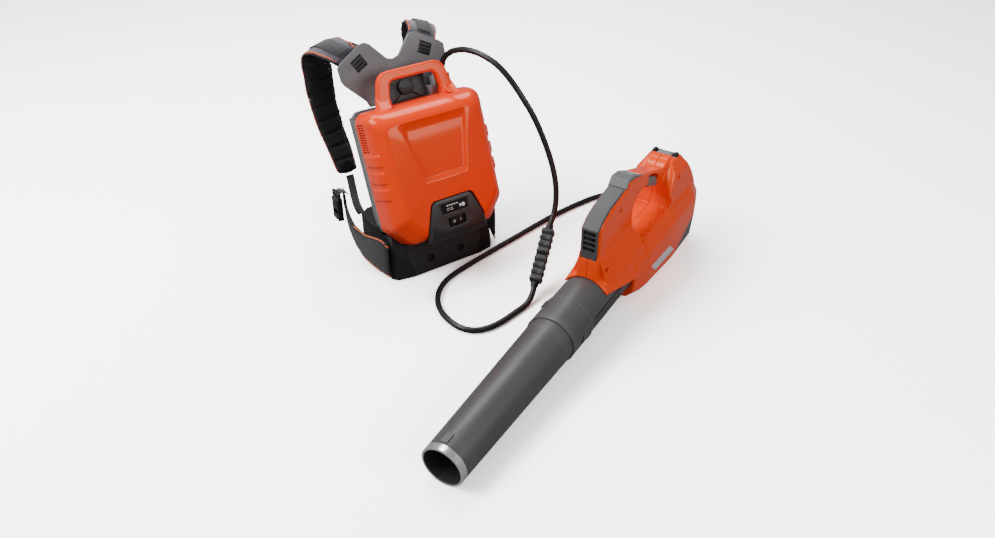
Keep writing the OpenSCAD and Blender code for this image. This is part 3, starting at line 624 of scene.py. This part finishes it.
def recess_depth(x, s):
    """Depth in mm of the plain tapered field on the cover's front face."""
    half = 46 + (s - 167) * 0.232
    inside = soft_step(half - abs(x), -2.5, 3.5)
    floor = soft_step(s, 162, 171) * (1 - soft_step(s, 268, 292))
    return RECESS_DEPTH * inside * floor


def rib_height(n, s):
    """Height in mm of the three grip ribs on each side."""
    across = max(soft_step(12.5 - abs(s - centre), 0.0, 2.6) for centre in RIBS_AT)
    return RIB_HEIGHT * across * soft_step(n, 108, 113) * (1 - soft_step(n, 163, 168))


COVER_LEVELS = [  # n, half width, low, high, chamfer, corner radius
    (98, 128.0, 40, 318.5, 35, 22), (112, 128.2, 40.5, 319.5, 35, 22), (132, 128.2, 42, 319.5, 35.5, 22),
    (150, 127.0, 44.5, 316.5, 36, 21), (160, 123.5, 48, 312, 37, 20), (168, 118.5, 52.5, 306, 38, 19),
    (174.5, 112.5, 58, 299.5, 36, 18), (179, 106.5, 63.5, 292.5, 34, 17), (FRONT_N, 101, 69, 286, 32, 16)]
cover_rings = []
for n, hw, low, high, chamfer, r in spline(COVER_LEVELS, 4):
    ring = []
    for x, s in rounded_outline(hw, low, high, chamfer, r):
        out = rib_height(n, s) if abs(x) > hw - 4 else 0.0
        ledge = soft_step(n, 136, 139) * (1 - soft_step(n, 149, 153)) * soft_step(70 - abs(x), 0, 5)
        sink = LEDGE_DEPTH * ledge if s >= high - 3 else 0.0
        ring.append((x + math.copysign(out, x), n, s - sink))
    cover_rings.append(ring)
edge_ring = cover_rings[-1]
for step in range(1, FRONT_STEPS):
    share = 1 - step / FRONT_STEPS
    crown = FRONT_N + CROWN * math.sin(math.pi / 2 * min(1.0, (1 - share) * 2.2))
    ring = []
    for x, n, s in edge_ring:
        px, ps = x * share, CENTRE_S + (s - CENTRE_S) * share
        ring.append((px, crown - recess_depth(px, ps), ps))
    cover_rings.append(ring)
back_rings = [[(x * 0.975, depth, CENTRE_S + (s - CENTRE_S) * 0.98) for x, n, s in cover_rings[0]]
              for depth in (120.0, 98.0)]
cover = loft("cover_skin", [[lean(*p) for p in ring] for ring in back_rings + cover_rings], "orange_shell")


def lean_plane(n):
    return lambda a, b, c: lean(a, n + c, b)


BEZEL = [(-68, 40), (68, 40), (64, 74), (48, 116), (40, 122), (-40, 122), (-48, 116), (-64, 74)]


def grown(outline, g):
    centre_a = sum(a for a, b in outline) / len(outline)
    centre_b = sum(b for a, b in outline) / len(outline)
    return [(a + math.copysign(g, a - centre_a), b + math.copysign(g, b - centre_b)) for a, b in outline]


cutters = [prism("part", grown(BEZEL, 1.6), 0, 60, lean_plane(140))]
for side in (-1, 1):
    for column in range(2):
        for row in range(12):
            x, n, s = side * 128, 112 + column * 15, 244 + row * 4.8 + column * 1.2
            cutters.append(box_part((x - 5, n - 6.4, s - 1.4), (x + 5, n + 6.4, s + 1.4), lean))
carve(cover, cutters)
sharp_edges(cover, 40)
add(cover, "backpack", "orange_shell", "shell_cover")

backing = [box_part((x - 0.35, 105, 241), (x + 0.35, 134, 301), lean) for x in (-123.5, 123.5)]
add(joined("vent_backing", backing), "backpack", "orange_shell")



def both_sides(half):
    return half + [(-a, b) for a, b in half[::-1]]


HANDLE = both_sides([(-92, 304), (-86, 330), (-76, 368), (-70, 379), (-60, 385), (-50, 386.5)])
HANDLE += both_sides([(54, 304), (57, 336), (52, 358), (48, 364), (42, 366.5)])
handle = prism("part", HANDLE, -8.5, 8.5, lean_plane(127), "orange_shell", 4.6, 5)
gussets = []
for side in (-1, 1):
    foot = [(side * 60, 128, 322), (side * 92, 128, 312), (side * 84, 128, 344), (side * 60, 128, 338),
            (side * 66, 152, 317), (side * 88, 150, 315)]
    made = new_piece("part", [lean(*p) for p in foot],
                     [(0, 1, 2, 3), (0, 4, 5, 1), (3, 2, 5, 4), (0, 3, 4), (1, 5, 2)], "orange_shell")
    gussets.append(rounded(made, 1.6))
add(joined("carry_handle_skin", [handle, *gussets], "orange_shell"), "backpack", "orange_shell")

REAR_LEVELS = [(69.5, 116, 64, 300, 30, 20), (72.5, 120.5, 60, 306, 31, 22), (78, 124.5, 54, 312, 33, 24),
               (86, 127, 49, 316.5, 35, 24), (97.2, 127.4, 43, 318, 35, 22), (97.6, 124, 46, 315, 34, 20)]
rear_rings = [[lean(x, n, s) for x, s in rounded_outline(hw, low, high, chamfer, r)]
              for n, hw, low, high, chamfer, r in REAR_LEVELS]
rear = sharp_edges(loft("rear_cover_skin", rear_rings, "cover_grey"), 50)
add(rear, "backpack", "cover_grey", "rear_cover")

# rounded rim all round the harness frame
RIM_LEVELS = [(68, 117.5, 62), (53, 117.5, 62), (50.5, 115.5, 64), (50, 110, 70), (52, 107, 73),
              (68, 107, 73), (68, 117.5, 62)]
rim_rings = [[lean(x, n, s) for x, s in rounded_outline(hw, low, 382 - low, 28, 20)]
             for n, hw, low in RIM_LEVELS]
add(sharp_edges(loft("frame_rim", rim_rings, "frame_grey", caps=False), 50), "backpack", "frame_grey")

# marks: battery level, plain symbols and the switch's ring and bar
MARKS = [(-17 + k * 5.6, 105.6, 3.4, 2.6) for k in range(5)]
MARKS += [(-18, 100.8, 7.5, 0.8), (-8.5, 100.8, 5, 0.8), (-18, 97.4, 5, 0.8), (-11, 97.4, 8, 0.8),
          (11.5, 97.5, 3.2, 6.5)]
marks = [box_part((a, b, 0), (a + w, b + h, 0.35), lean_plane(185.0)) for a, b, w, h in MARKS]
add(joined("display_marks", marks, "mark_white"), "backpack", "display")

ROCKER_TURN = math.radians(8)


def rocker_view(a, b, c):
    """Places (across, up, out) on the rocker's dished front face."""
    back = -(3 + 1.6 * abs(a) / 15) - c
    return lean(a * math.cos(ROCKER_TURN) - back * math.sin(ROCKER_TURN),
                180 - a * math.sin(ROCKER_TURN) - back * math.cos(ROCKER_TURN), 72.5 + b)


off_ring = circle(2.6, range(17), 16, (-8, 0)) + circle(1.8, range(16, -1, -1), 16, (-8, 0))
marks = [prism("part", off_ring, 0.1, 0.35, rocker_view),
         box_part((7.5, -2.6, 0.1), (8.4, 2.6, 0.35), rocker_view)]
add(joined("rocker_marks", marks, "mark_white"), "rocker", "switch_black")

# ---------- base ----------

BASE_GRADE = 0.247
BASE_SLOPE = math.atan(BASE_GRADE)


def base_front(x, z, out):
    """Point on the base's front wall at height z, moved outwards."""
    return world(x, -97 + (z - 3) * BASE_GRADE - out * math.cos(BASE_SLOPE), z + out * math.sin(BASE_SLOPE))


PANEL = both_sides([(77, 6), (86, 32), (90, 72)])
panel = prism("base_panel", PANEL, 0.0, 2.6, base_front, "bezel_plastic", 1.3)
carve(panel, [prism("part", circle(8.2, range(32), 32, (x, 29)), -4, 8, base_front) for x in (-36, 36)])
add(sharp_edges(panel, 40), "backpack", "base_plastic")

# ---------- harness ----------

def stations_between(stations, steps):
    """Dense frames along a strap: centre, half width, tangent and normal, in metres."""
    dense = spline([tuple(c) + tuple(w) for c, w in stations], steps)
    out = []
    for i, row in enumerate(dense):
        before, after = dense[max(i - 1, 0)], dense[min(i + 1, len(dense) - 1)]
        tangent = (Vector(after[:3]) - Vector(before[:3])).normalized()
        half = Vector(row[3:])
        out.append((Vector(row[:3]) * MM, half * MM, tangent, tangent.cross(half).normalized()))
    return out


def strap_rings(frames, thick, sides, round_end, shrink):
    """Rings of a soft band: superellipse sections that close in a rounded end."""
    total = [0.0]
    for a, b in zip(frames, frames[1:]):
        total.append(total[-1] + (b[0] - a[0]).length)
    rings = []
    for (centre, half, tangent, normal), at in zip(frames, total):
        end = min(at, total[-1] - at) / (round_end * MM)
        cap = math.sqrt(max(0.03, 1 - (1 - min(1.0, end)) ** 2))
        wide = half * (1 - shrink * MM / half.length) * (0.78 + 0.22 * cap)
        ring = []
        for k in range(sides):
            c, s = math.cos(math.tau * k / sides), math.sin(math.tau * k / sides)
            across = math.copysign(abs(c) ** 0.6, c)
            up = math.copysign(abs(s) ** 0.75, s)
            ring.append(centre + wide * across + normal * up * thick / 2 * MM * cap)
        rings.append(ring)
    return rings


PRESSURE, SWELL_FRAMES = 4.0, 20


def puffed(piece, voxel, cap):
    """Swells a closed soft form by cloth simulation, and caps how far each point may move, in mm."""
    melted(piece, voxel, 2)
    rest = [v.co.copy() for v in piece.data.vertices]
    cloth = piece.modifiers.new("cloth", "CLOTH")
    cloth.settings.use_pressure = True
    cloth.settings.uniform_pressure_force = PRESSURE
    cloth.settings.effector_weights.gravity = 0.0
    cloth.settings.quality = 5
    cloth.collision_settings.use_collision = False
    cloth.point_cache.frame_start = 1
    cloth.point_cache.frame_end = SWELL_FRAMES
    for number in range(1, SWELL_FRAMES + 1):
        bpy.context.scene.frame_set(number)
    applied(piece)
    bpy.context.scene.frame_set(1)
    for vertex, start in zip(piece.data.vertices, rest):
        moved = vertex.co - start
        if moved.length > cap * MM:
            vertex.co = start + moved.normalized() * cap * MM
    finer = piece.modifiers.new("finer", "SUBSURF")
    finer.levels = finer.render_levels = 1
    return applied(piece)


def sewn(piece, frames, outer, inner_pitch=0.0, outer_pitch=0.0, depth=2.2, border=0.82, crumple=0.7):
    """Presses sewn channels and a border seam into a puffed strap, after its simulation.

    outer is +1 or -1: the side of the normal that faces out. Pitches and depths are in mm, 0 for none.
    Returns for each vertex whether it lies on the outer face, and the reach of both edges at each frame.
    """
    tree = KDTree(len(frames))
    along = [0.0]
    for i, row in enumerate(frames):
        tree.insert(row[0], i)
        if i:
            along.append(along[-1] + (row[0] - frames[i - 1][0]).length)
    tree.balance()
    faces_out = []
    reach = [[0.5, 0.5] for _ in frames]
    normals = [v.normal.copy() for v in piece.data.vertices]  # before any point moves
    for vertex, normal in zip(piece.data.vertices, normals):
        index = tree.find(vertex.co)[1]
        centre, half, tangent, up = frames[index]
        offset = vertex.co - centre
        place = (along[index] + offset.dot(tangent)) / MM
        across = offset.dot(half.normalized()) / half.length
        outside = offset.dot(up) * outer > 0
        faces_out.append(outside)
        low_edge = across < 0
        reach[index][low_edge] = max(reach[index][low_edge], abs(across))
        flat = abs(normal.dot(up))
        pitch = outer_pitch if outside else inner_pitch
        press = 0.0
        if pitch:
            gap = (place % pitch) - pitch / 2
            press = depth * math.exp(-(gap / 3.2) ** 2) * soft_step(0.95 - abs(across), 0.0, 0.12)
        press += math.exp(-((abs(across) - border) / 0.045) ** 2)
        wave = noise.noise(vertex.co * 38.0) * crumple + noise.noise(vertex.co * 90.0) * crumple * 0.4
        vertex.co -= normal * (press * flat - wave * 0.6) * MM
    return faces_out, reach


def two_faced(piece, faces_out, outer_look):
    """Another look on a strap's outer face."""
    piece.data.materials.append(looks[outer_look])
    for polygon in piece.data.polygons:
        count = sum(faces_out[i] for i in polygon.vertices)
        polygon.material_index = 1 if count * 2 > len(polygon.vertices) else 0


def flat_band(name, frames, half_share, thick, lift, look):
    """Woven webbing that lies along a strap, lifted off its middle plane, in mm."""
    rings = []
    for centre, half, tangent, normal in frames:
        middle = centre + normal * lift * MM
        wide, deep = half * half_share, normal * thick / 2 * MM
        ring = [middle - wide - deep * 0.4, middle - wide * 0.96 - deep, middle + wide * 0.96 - deep,
                middle + wide - deep * 0.4, middle + wide + deep * 0.4, middle + wide * 0.96 + deep,
                middle - wide * 0.96 + deep, middle - wide + deep * 0.4]
        rings.append(ring)
    return loft(name, rings, look)


def edge_piping(names, frames, reach, outer, raise_by, radius, slot_name):
    """Corded piping along both edges of a puffed strap."""
    for name, share in zip(names, (-0.97, 0.97)):
        points = []
        for i, (centre, half, tangent, normal) in enumerate(frames):
            near = [row[share < 0] for row in reach[max(0, i - 2):i + 3]]
            edge = sum(near) / len(near) * share
            points.append(centre + half * edge + normal * outer * raise_by * MM)
        add(curve(name, points, radius * MM, "piping", 6), "backpack", slot_name)


STRAPS = {  # by side: stations of centre and half width in mm
    -1: [((-52, 107, 384), (28, 2, 17)), ((-64, 111, 397), (30, 2, 17)), ((-78, 117, 411), (31, 2, 17)),
         ((-92, 120, 420), (32, 2, 15)), ((-106, 136, 427), (34, 2, 12)), ((-116, 158, 429), (36, 2, 10)),
         ((-121, 182, 416), (37, 2, 8)),
         ((-121, 197, 386), (37, 4, 4)), ((-118, 203, 345), (37, 6, 1)), ((-115, 200, 298), (36, 5, 0)),
         ((-111, 189, 248), (34, 4, 0)), ((-104, 168, 196), (31, 2, 0)), ((-100, 140, 142), (24, 0, 0))],
    1: [((52, 107, 384), (-28, 2, 17)), ((64, 111, 397), (-30, 2, 17)), ((76, 117, 411), (-32, 2, 18)),
        ((88, 124, 424), (-35, 2, 17)),
        ((98, 142, 431), (-38, 1, 15)), ((105, 164, 429), (-40, 0, 14)), ((110, 184, 412), (-39, 2, 10)),
        ((116, 198, 384), (-38, 4, 5)), ((120, 203, 345), (-37, 6, 1)), ((118, 200, 298), (-36, 5, 0)),
        ((111, 189, 248), (-34, 4, 0)), ((104, 168, 196), (-31, 2, 0)), ((100, 140, 142), (-24, 0, 0))],
}
WING = [((-128, -86, 52), (0, 0, 46)), ((-139, -52, 55), (0, 0, 45)), ((-146, -10, 53), (0, 0, 38)),
        ((-149, 26, 62), (0, 2, 32)), ((-148, 56, 84), (0, 4, 25)), ((-143, 78, 112), (0, 5, 19)),
        ((-136, 90, 138), (0, 5, 15))]
TAIL = [(100, 139, 141), (100, 134, 130), (104, 118, 108), (108, 100, 92), (110, 84, 84), (110, 72, 80)]


def mirrored(point, side):
    return (point[0] * -side, point[1], point[2])


bands, tails = [], []
for side, label in ((-1, "left"), (1, "right")):
    frames = stations_between(STRAPS[side], 8)
    outer = side
    pad = loft("shoulder_cushion_" + label, strap_rings(frames, 10.5, 28, 12, 0.0), "pad_fabric")
    puffed(pad, 4.6, 3.0)
    faces_out, reach = sewn(pad, frames, outer, inner_pitch=31.0, depth=2.6)
    two_faced(pad, faces_out, "strap_fabric")
    add(pad, "backpack", "pad_fabric", "shoulder_pad_" + label)
    edge_piping(("strap_piping_inner_" + label, "strap_piping_outer_" + label), frames[22:-2], reach[22:-2],
                outer, 2.4, 1.7, "pad_fabric")
    tail_frames = stations_between([((side * x, y, z), (9, 0, 0)) for x, y, z in TAIL], 5)
    bands.append(flat_band("strap_band", frames[24:-1], 0.42, 1.8, outer * 7.6, "webbing"))
    tails.append(flat_band("tail_band", tail_frames, 1.0, 1.8, 0.0, "webbing"))
    stitches = []
    for index, across in ((58, 0.45), (58, 0.1), (60, -0.3), (61, 0.62)):
        centre, half, tangent, normal = frames[index]
        spot = centre + half * across - normal * outer * 6.6 * MM
        rings = [[spot + tangent * math.cos(turn) * MM + half.normalized() * shift * MM
                  - normal * outer * 1.2 * MM * math.sin(turn) for turn in (0.3, 1.2, 2.1, 3.0, 4.4)]
                 for shift in (-1.8, 0.0, 1.8)]
        stitches.append(loft("part", rings, "mark_white"))
    add(joined("pad_stitches_" + label, stitches, "mark_white"), "backpack", "pad_fabric")

    wing_frames = stations_between([(mirrored(c, side), w) for c, w in WING], 8)
    outer = 1 if wing_frames[20][3].x * side > 0 else -1
    belt = loft("hip_wing_" + label, strap_rings(wing_frames, 6.6, 24, 8, 1.4), "belt_fabric")
    puffed(belt, 4.2, 2.0)
    reach = sewn(belt, wing_frames, outer, depth=1.2, border=0.88, crumple=0.5)[1]
    add(belt, "backpack", "belt_fabric", "hip_belt_" + label)
    edge_piping(("wing_piping_lower_" + label, "wing_piping_upper_" + label), wing_frames[1:-1], reach[1:-1],
                outer, 1.6, 1.5, "belt_fabric")

BUCKLE_LOOP = [(-133, 88, 132), (-142, 90, 139), (-151, 88, 140), (-158, 84, 137.5)]
for side in (-1, 1):
    loop_frames = stations_between([(mirrored(c, side), (0, 11, 0)) for c in BUCKLE_LOOP], 5)
    tails.append(flat_band("buckle_band", loop_frames, 1.0, 2.0, 0.0, "webbing"))
add(joined("shoulder_bands", bands, "webbing"), "backpack", "webbing", "shoulder_webbing")
add(joined("tail_bands", tails, "webbing"), "backpack", "webbing", "lower_webbing")

back_pads = []
for side in (-1, 1):
    frames = stations_between([((side * 58, -40.0, s), (52, 0, 0)) for s in (117, 165, 215, 268, 320)], 8)
    frames = [(lean(c.x / MM, -c.y / MM, c.z / MM), half, lean(0, -t.y, t.z).normalized(),
               lean(0, 1, 0).normalized()) for c, half, t, normal in frames]
    pad = loft("back_cushion", strap_rings(frames, 17.0, 28, 14, 2.0), "pad_fabric")
    puffed(pad, 4.6, 2.2)
    sewn(pad, frames, -1, outer_pitch=42.0, depth=2.0)
    back_pads.append(pad)
back = joined("back_cushions", back_pads, "pad_fabric")
add(back, "backpack", "pad_fabric", "back_pad")

frames = stations_between([((x, 73, 57), (0, 0, 43)) for x in (-85, -42, 0, 42, 85)], 8)
lumbar = loft("lumbar_cushion", strap_rings(frames, 11.0, 28, 16, 2.0), "pad_fabric")
puffed(lumbar, 4.6, 2.4)
sewn(lumbar, frames, 1 if frames[8][3].y > 0 else -1, outer_pitch=43.0, depth=2.2)
add(lumbar, "backpack", "pad_fabric", "lumbar_pad")

# ---------- blower housing ----------

GRIP = [(479, 90), (482, 106), (484, 153), (503, 167), (530, 177), (588, 186), (600, 198), (628, 194),
        (666, 179), (740, 149), (762, 141)]
HAND_GAP = [(628, 58), (624, 76), (625, 118), (634, 134), (650, 141), (676, 141), (706, 135), (736, 118),
            (752, 94), (755, 74), (750, 58)]
GRIP_HALF = 21.0
GRIP_ROUND = 9.0
PARTING = 0.28  # half the gap between the housing's halves


def nearest_on(outline, point):
    """Distance and place of the nearest point of an open outline in the blower's side plane."""
    best, found = 1e9, None
    for a, b in zip(outline, outline[1:]):
        dx, dy = b[0] - a[0], b[1] - a[1]
        t = ((point[0] - a[0]) * dx + (point[1] - a[1]) * dy) / (dx * dx + dy * dy)
        t = max(0.0, min(1.0, t))
        spot = (a[0] + dx * t, a[1] + dy * t)
        far = math.hypot(point[0] - spot[0], point[1] - spot[1])
        if far < best:
            best, found = far, spot
    return best, found


def local_blow(point):
    offset = point / MM - MOUTH
    return offset.dot(AXIS), offset.dot(LEFT), offset.dot(UPWARD)


def rounded_grip(piece):
    """Rounds the grip's and the handle bar's long edges like a moulded handle."""
    for vertex in piece.data.vertices:
        u, v, w = local_blow(vertex.co)
        if not (474 < u < 772 and 84 < w < 205 and 10 < abs(v) < 22.5):
            continue
        far, spot = nearest_on(GRIP, (u, w))
        far_gap, spot_gap = nearest_on(HAND_GAP, (u, w))
        if far_gap < far:
            far, spot = far_gap, spot_gap
        reach = GRIP_ROUND * soft_step(w, 84, 104) * soft_step(772 - u, 0, 18)
        if reach < 0.5:
            continue
        flat = GRIP_HALF - reach
        if abs(v) > GRIP_HALF - 0.8 and far < reach:
            target = flat + math.sqrt(max(0.0, reach ** 2 - (reach - far) ** 2))
            v = math.copysign(target, v)
        elif abs(v) > flat and far < 1.2:
            inward = reach - math.sqrt(max(0.0, reach ** 2 - (abs(v) - flat) ** 2))
            towards = Vector((u - spot[0], w - spot[1]))
            centre = Vector((560, 130)) if u < 622 else Vector((u, 152 - (u - 640) * 0.2))
            pull = (centre - Vector((u, w))).normalized() if towards.length < 0.3 else towards.normalized()
            u += pull.x * inward
            w += pull.y * inward
        vertex.co = blow(u, v, w)


bpy.context.view_layer.update()
both = gathered([nodes["housing_left"], nodes["housing_right"]])
bmesh.ops.remove_doubles(both, verts=both.verts, dist=0.00001)
form = piece_from("housing_form", both, "orange_housing")
melted(form, 1.5, 1)
rounded_grip(form)
softened(form, 7)
housing_tree = BVHTree.FromObject(form, bpy.context.evaluated_depsgraph_get())
for side, label in ((1, "left"), (-1, "right")):
    half = bmesh.new()
    half.from_mesh(form.data)
    half.normal_update()
    bmesh.ops.bisect_plane(half, geom=half.verts[:] + half.edges[:] + half.faces[:], plane_co=blow(0, 0, 0),
                           plane_no=LEFT * -side, clear_outer=True)
    for vertex in half.verts:
        if vertex.is_boundary:
            vertex.co += LEFT * side * PARTING * MM - vertex.normal * 0.7 * MM
    skin = piece_from("housing_skin_" + label, half, "orange_housing")
    add(skin, "blower", "orange_housing", "housing_" + label)
bpy.data.objects.remove(form)

# blank label laid on the housing's right side, found by looking straight at it
LABEL = [Vector(corner) for corner in ((655, -28), (742, -30), (712, -2), (628, -1))]
ALONG, ACROSS = 24, 8
LABEL_LIFT = 0.35
verts, faces = [], []
for i in range(ALONG + 1):
    for j in range(ACROSS + 1):
        spot = LABEL[0].lerp(LABEL[1], i / ALONG).lerp(LABEL[3].lerp(LABEL[2], i / ALONG), j / ACROSS)
        hit = housing_tree.ray_cast(blow(spot.x, -120, spot.y), LEFT)[0]
        verts.append((hit or blow(spot.x, -66, spot.y)) - LEFT * LABEL_LIFT * MM)
        if i < ALONG and j < ACROSS:
            k = i * (ACROSS + 1) + j
            faces.append((k, k + 1, k + ACROSS + 2, k + ACROSS + 1))
label_patch = new_piece("rating_label", verts, faces, "label_pale")
thick = label_patch.modifiers.new("thick", "SOLIDIFY")
thick.thickness = 0.0003
thick.offset = 0.0
add(applied(label_patch), "blower", "orange_housing")


def side_view(a, b, c):
    """Places (u, w, v) of the blower's own frame."""
    return blow(a, c, b)


def round_axis(turn):
    """Places (along, sideways, out) at that turn about the blower's axis."""
    cos, sin = math.cos(turn), math.sin(turn)
    return lambda a, b, c: blow(a, c * cos - b * sin, c * sin + b * cos)


# grip insert with its four slots; near-black plates at the slots' bottoms are painted shade
INSERT = [(480, 88), (480.4, 106), (482.4, 154), (502, 168.4), (530, 178.6), (588, 187.6), (588, 182),
          (532, 173), (506, 162), (490, 150), (488, 106), (488, 88)]
SLOTS_AT = [106.6 + k * 11.4 for k in range(4)]
insert = prism("grip_insert_skin", INSERT, -17, 17, side_view, "grip_rubber", 2.6, 4)
carve(insert, [box_part((474, w, -12.5), (485.6, w + 9.2, 12.5), side_view) for w in SLOTS_AT])
add(sharp_edges(insert, 40), "blower", "grip_rubber", "grip_insert")
# painted shade: near-black plates set at the bottoms of the insert's slots
slot_shade_plates = [box_part((484.4, w - 0.4, -12.9), (485.9, w + 9.6, 12.9), side_view) for w in SLOTS_AT]
add(joined("insert_slot_shade", slot_shade_plates), "blower", "grip_rubber")

# near-black strips at the bottoms of the duct's cooling slots, as painted shade
duct_slot_shades = [box_part((416.4 + abs(k) * 6, -1.62, 47.3), (523.6 + abs(k) * 6, 1.62, 47.8),
                   round_axis(math.radians(side + k * 11.5))) for side in (0, 180) for k in (-1, 0, 1)]
add(joined("duct_slot_shade", duct_slot_shades), "blower", "duct_plastic")

# collar's raised end and its small side latch, and a near-black liner in the nozzle's bore as painted shade
COLLAR = [(401.5, 49.6), (402.5, 50.9), (407.5, 50.9), (408.6, 49.6), (408.6, 48.4), (401.5, 48.4),
          (401.5, 49.6)]
add(sharp_edges(turned("collar_band", COLLAR, "duct_plastic"), 30), "blower", "duct_plastic")
side_latch = prism("collar_latch", [(384, -5.5), (401, -5.5), (401, 5.5), (384, 5.5)], 48.6, 52.8,
                   round_axis(math.radians(33.4)), "duct_plastic", 1.4)
add(side_latch, "blower", "duct_plastic")
BORE_SHADE = [(2.6, 35.2), (333, 43.0), (333, 42.8), (2.6, 35.0), (2.6, 35.2)]
add(turned("nozzle_bore_shade", BORE_SHADE, "shadow"), "nozzle", "duct_plastic")

# keypad block, with a paler face that has small plain marks
KEYPAD = [(589, 187), (601, 200.4), (629, 196), (665, 177.6), (662, 171), (628, 188), (600, 191), (589, 182)]
FACE = [(-7.5, -12), (-5, -15.2), (30, -15.2), (33.5, -12), (33.5, 12), (30, 15.2), (-5, 15.2), (-7.5, 12)]
KEYS_AT = (9, -9)
KEY_TILT = math.radians(26)


def key_face(v):
    """Places (a, b, c) on a button's top: along the grip, across it and out."""
    def place(a, b, c):
        u = 632 + a * math.cos(KEY_TILT) + (1.8 + c) * math.sin(KEY_TILT)
        w = 193.4 - a * math.sin(KEY_TILT) + (1.8 + c) * math.cos(KEY_TILT)
        return blow(u, v + b, w)
    return place


def with_key_holes(piece, radius):
    carve(piece, [prism("part", circle(radius, range(32)), -24, 8, key_face(v)) for v in KEYS_AT])
    return sharp_edges(piece, 40)


keypad = prism("keypad_skin", KEYPAD, -19, 19, side_view, "keypad_plastic", 1.6)
add(with_key_holes(keypad, 5.3), "blower", "keypad_plastic", "keypad_panel")
face_plate = prism("keypad_face", FACE, -2.4, -1.1, key_face(0), "keypad_pale", 0.5, 2)
add(with_key_holes(face_plate, 5.6), "blower", "keypad_plastic")
key_ring = circle(7.1, range(33)) + circle(6.5, range(32, 0, -1))
marks = [prism("part", key_ring, -1.15, -0.9, key_face(v)) for v in KEYS_AT]
marks += [box_part((13.5, b, -1.15), (15.5, b + 2.2, -0.9), key_face(0))
          for b in (-9.6, -5.4, -1.2, 3.0, 7.2)]
marks += [box_part((20.5, b, -1.15), (21.6, b + 8, -0.9), key_face(0)) for b in (-9.5, 1.5)]
add(joined("keypad_marks", marks, "mark_white"), "blower", "keypad_plastic")

# plain marks on the keypad's two buttons
POWER = circle(2.6, range(30, 331, 20), 360) + circle(1.9, range(330, 29, -20), 360)
BOOST = [(-2.4, -2.2), (0.2, -2.2), (2.4, 0), (0.2, 2.2), (-2.4, 2.2), (-0.2, 0)]
for v, word, outline in ((9, "power", POWER), (-9, "boost", BOOST)):
    parts = [prism("part", outline, 0.0, 0.25, key_face(v))]
    if word == "power":
        parts.append(box_part((0.4, -0.35, 0.0), (3.2, 0.35, 0.25), key_face(v)))
    add(joined(word + "_mark", parts, "mark_white"), word, "button_black")

# ---------- floor, and the cords' first points, which are not used ---

def level_plane(name, z, material):
    mesh = bpy.data.meshes.new(name)
    mesh.from_pydata([(-12, -12, z), (12, -12, z), (12, 12, z), (-12, 12, z)], [], [(0, 1, 2, 3)])
    mesh.materials.append(material)
    return placed(name, mesh)


floor = level_plane("floor", 0.0, floor_look)
floor.visible_diffuse = False
floor.visible_glossy = False
bounce = level_plane("floor_bounce", -0.0005, bounce_look)
bounce.visible_camera = False
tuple(pack_points[0])
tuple(blower_points[0])
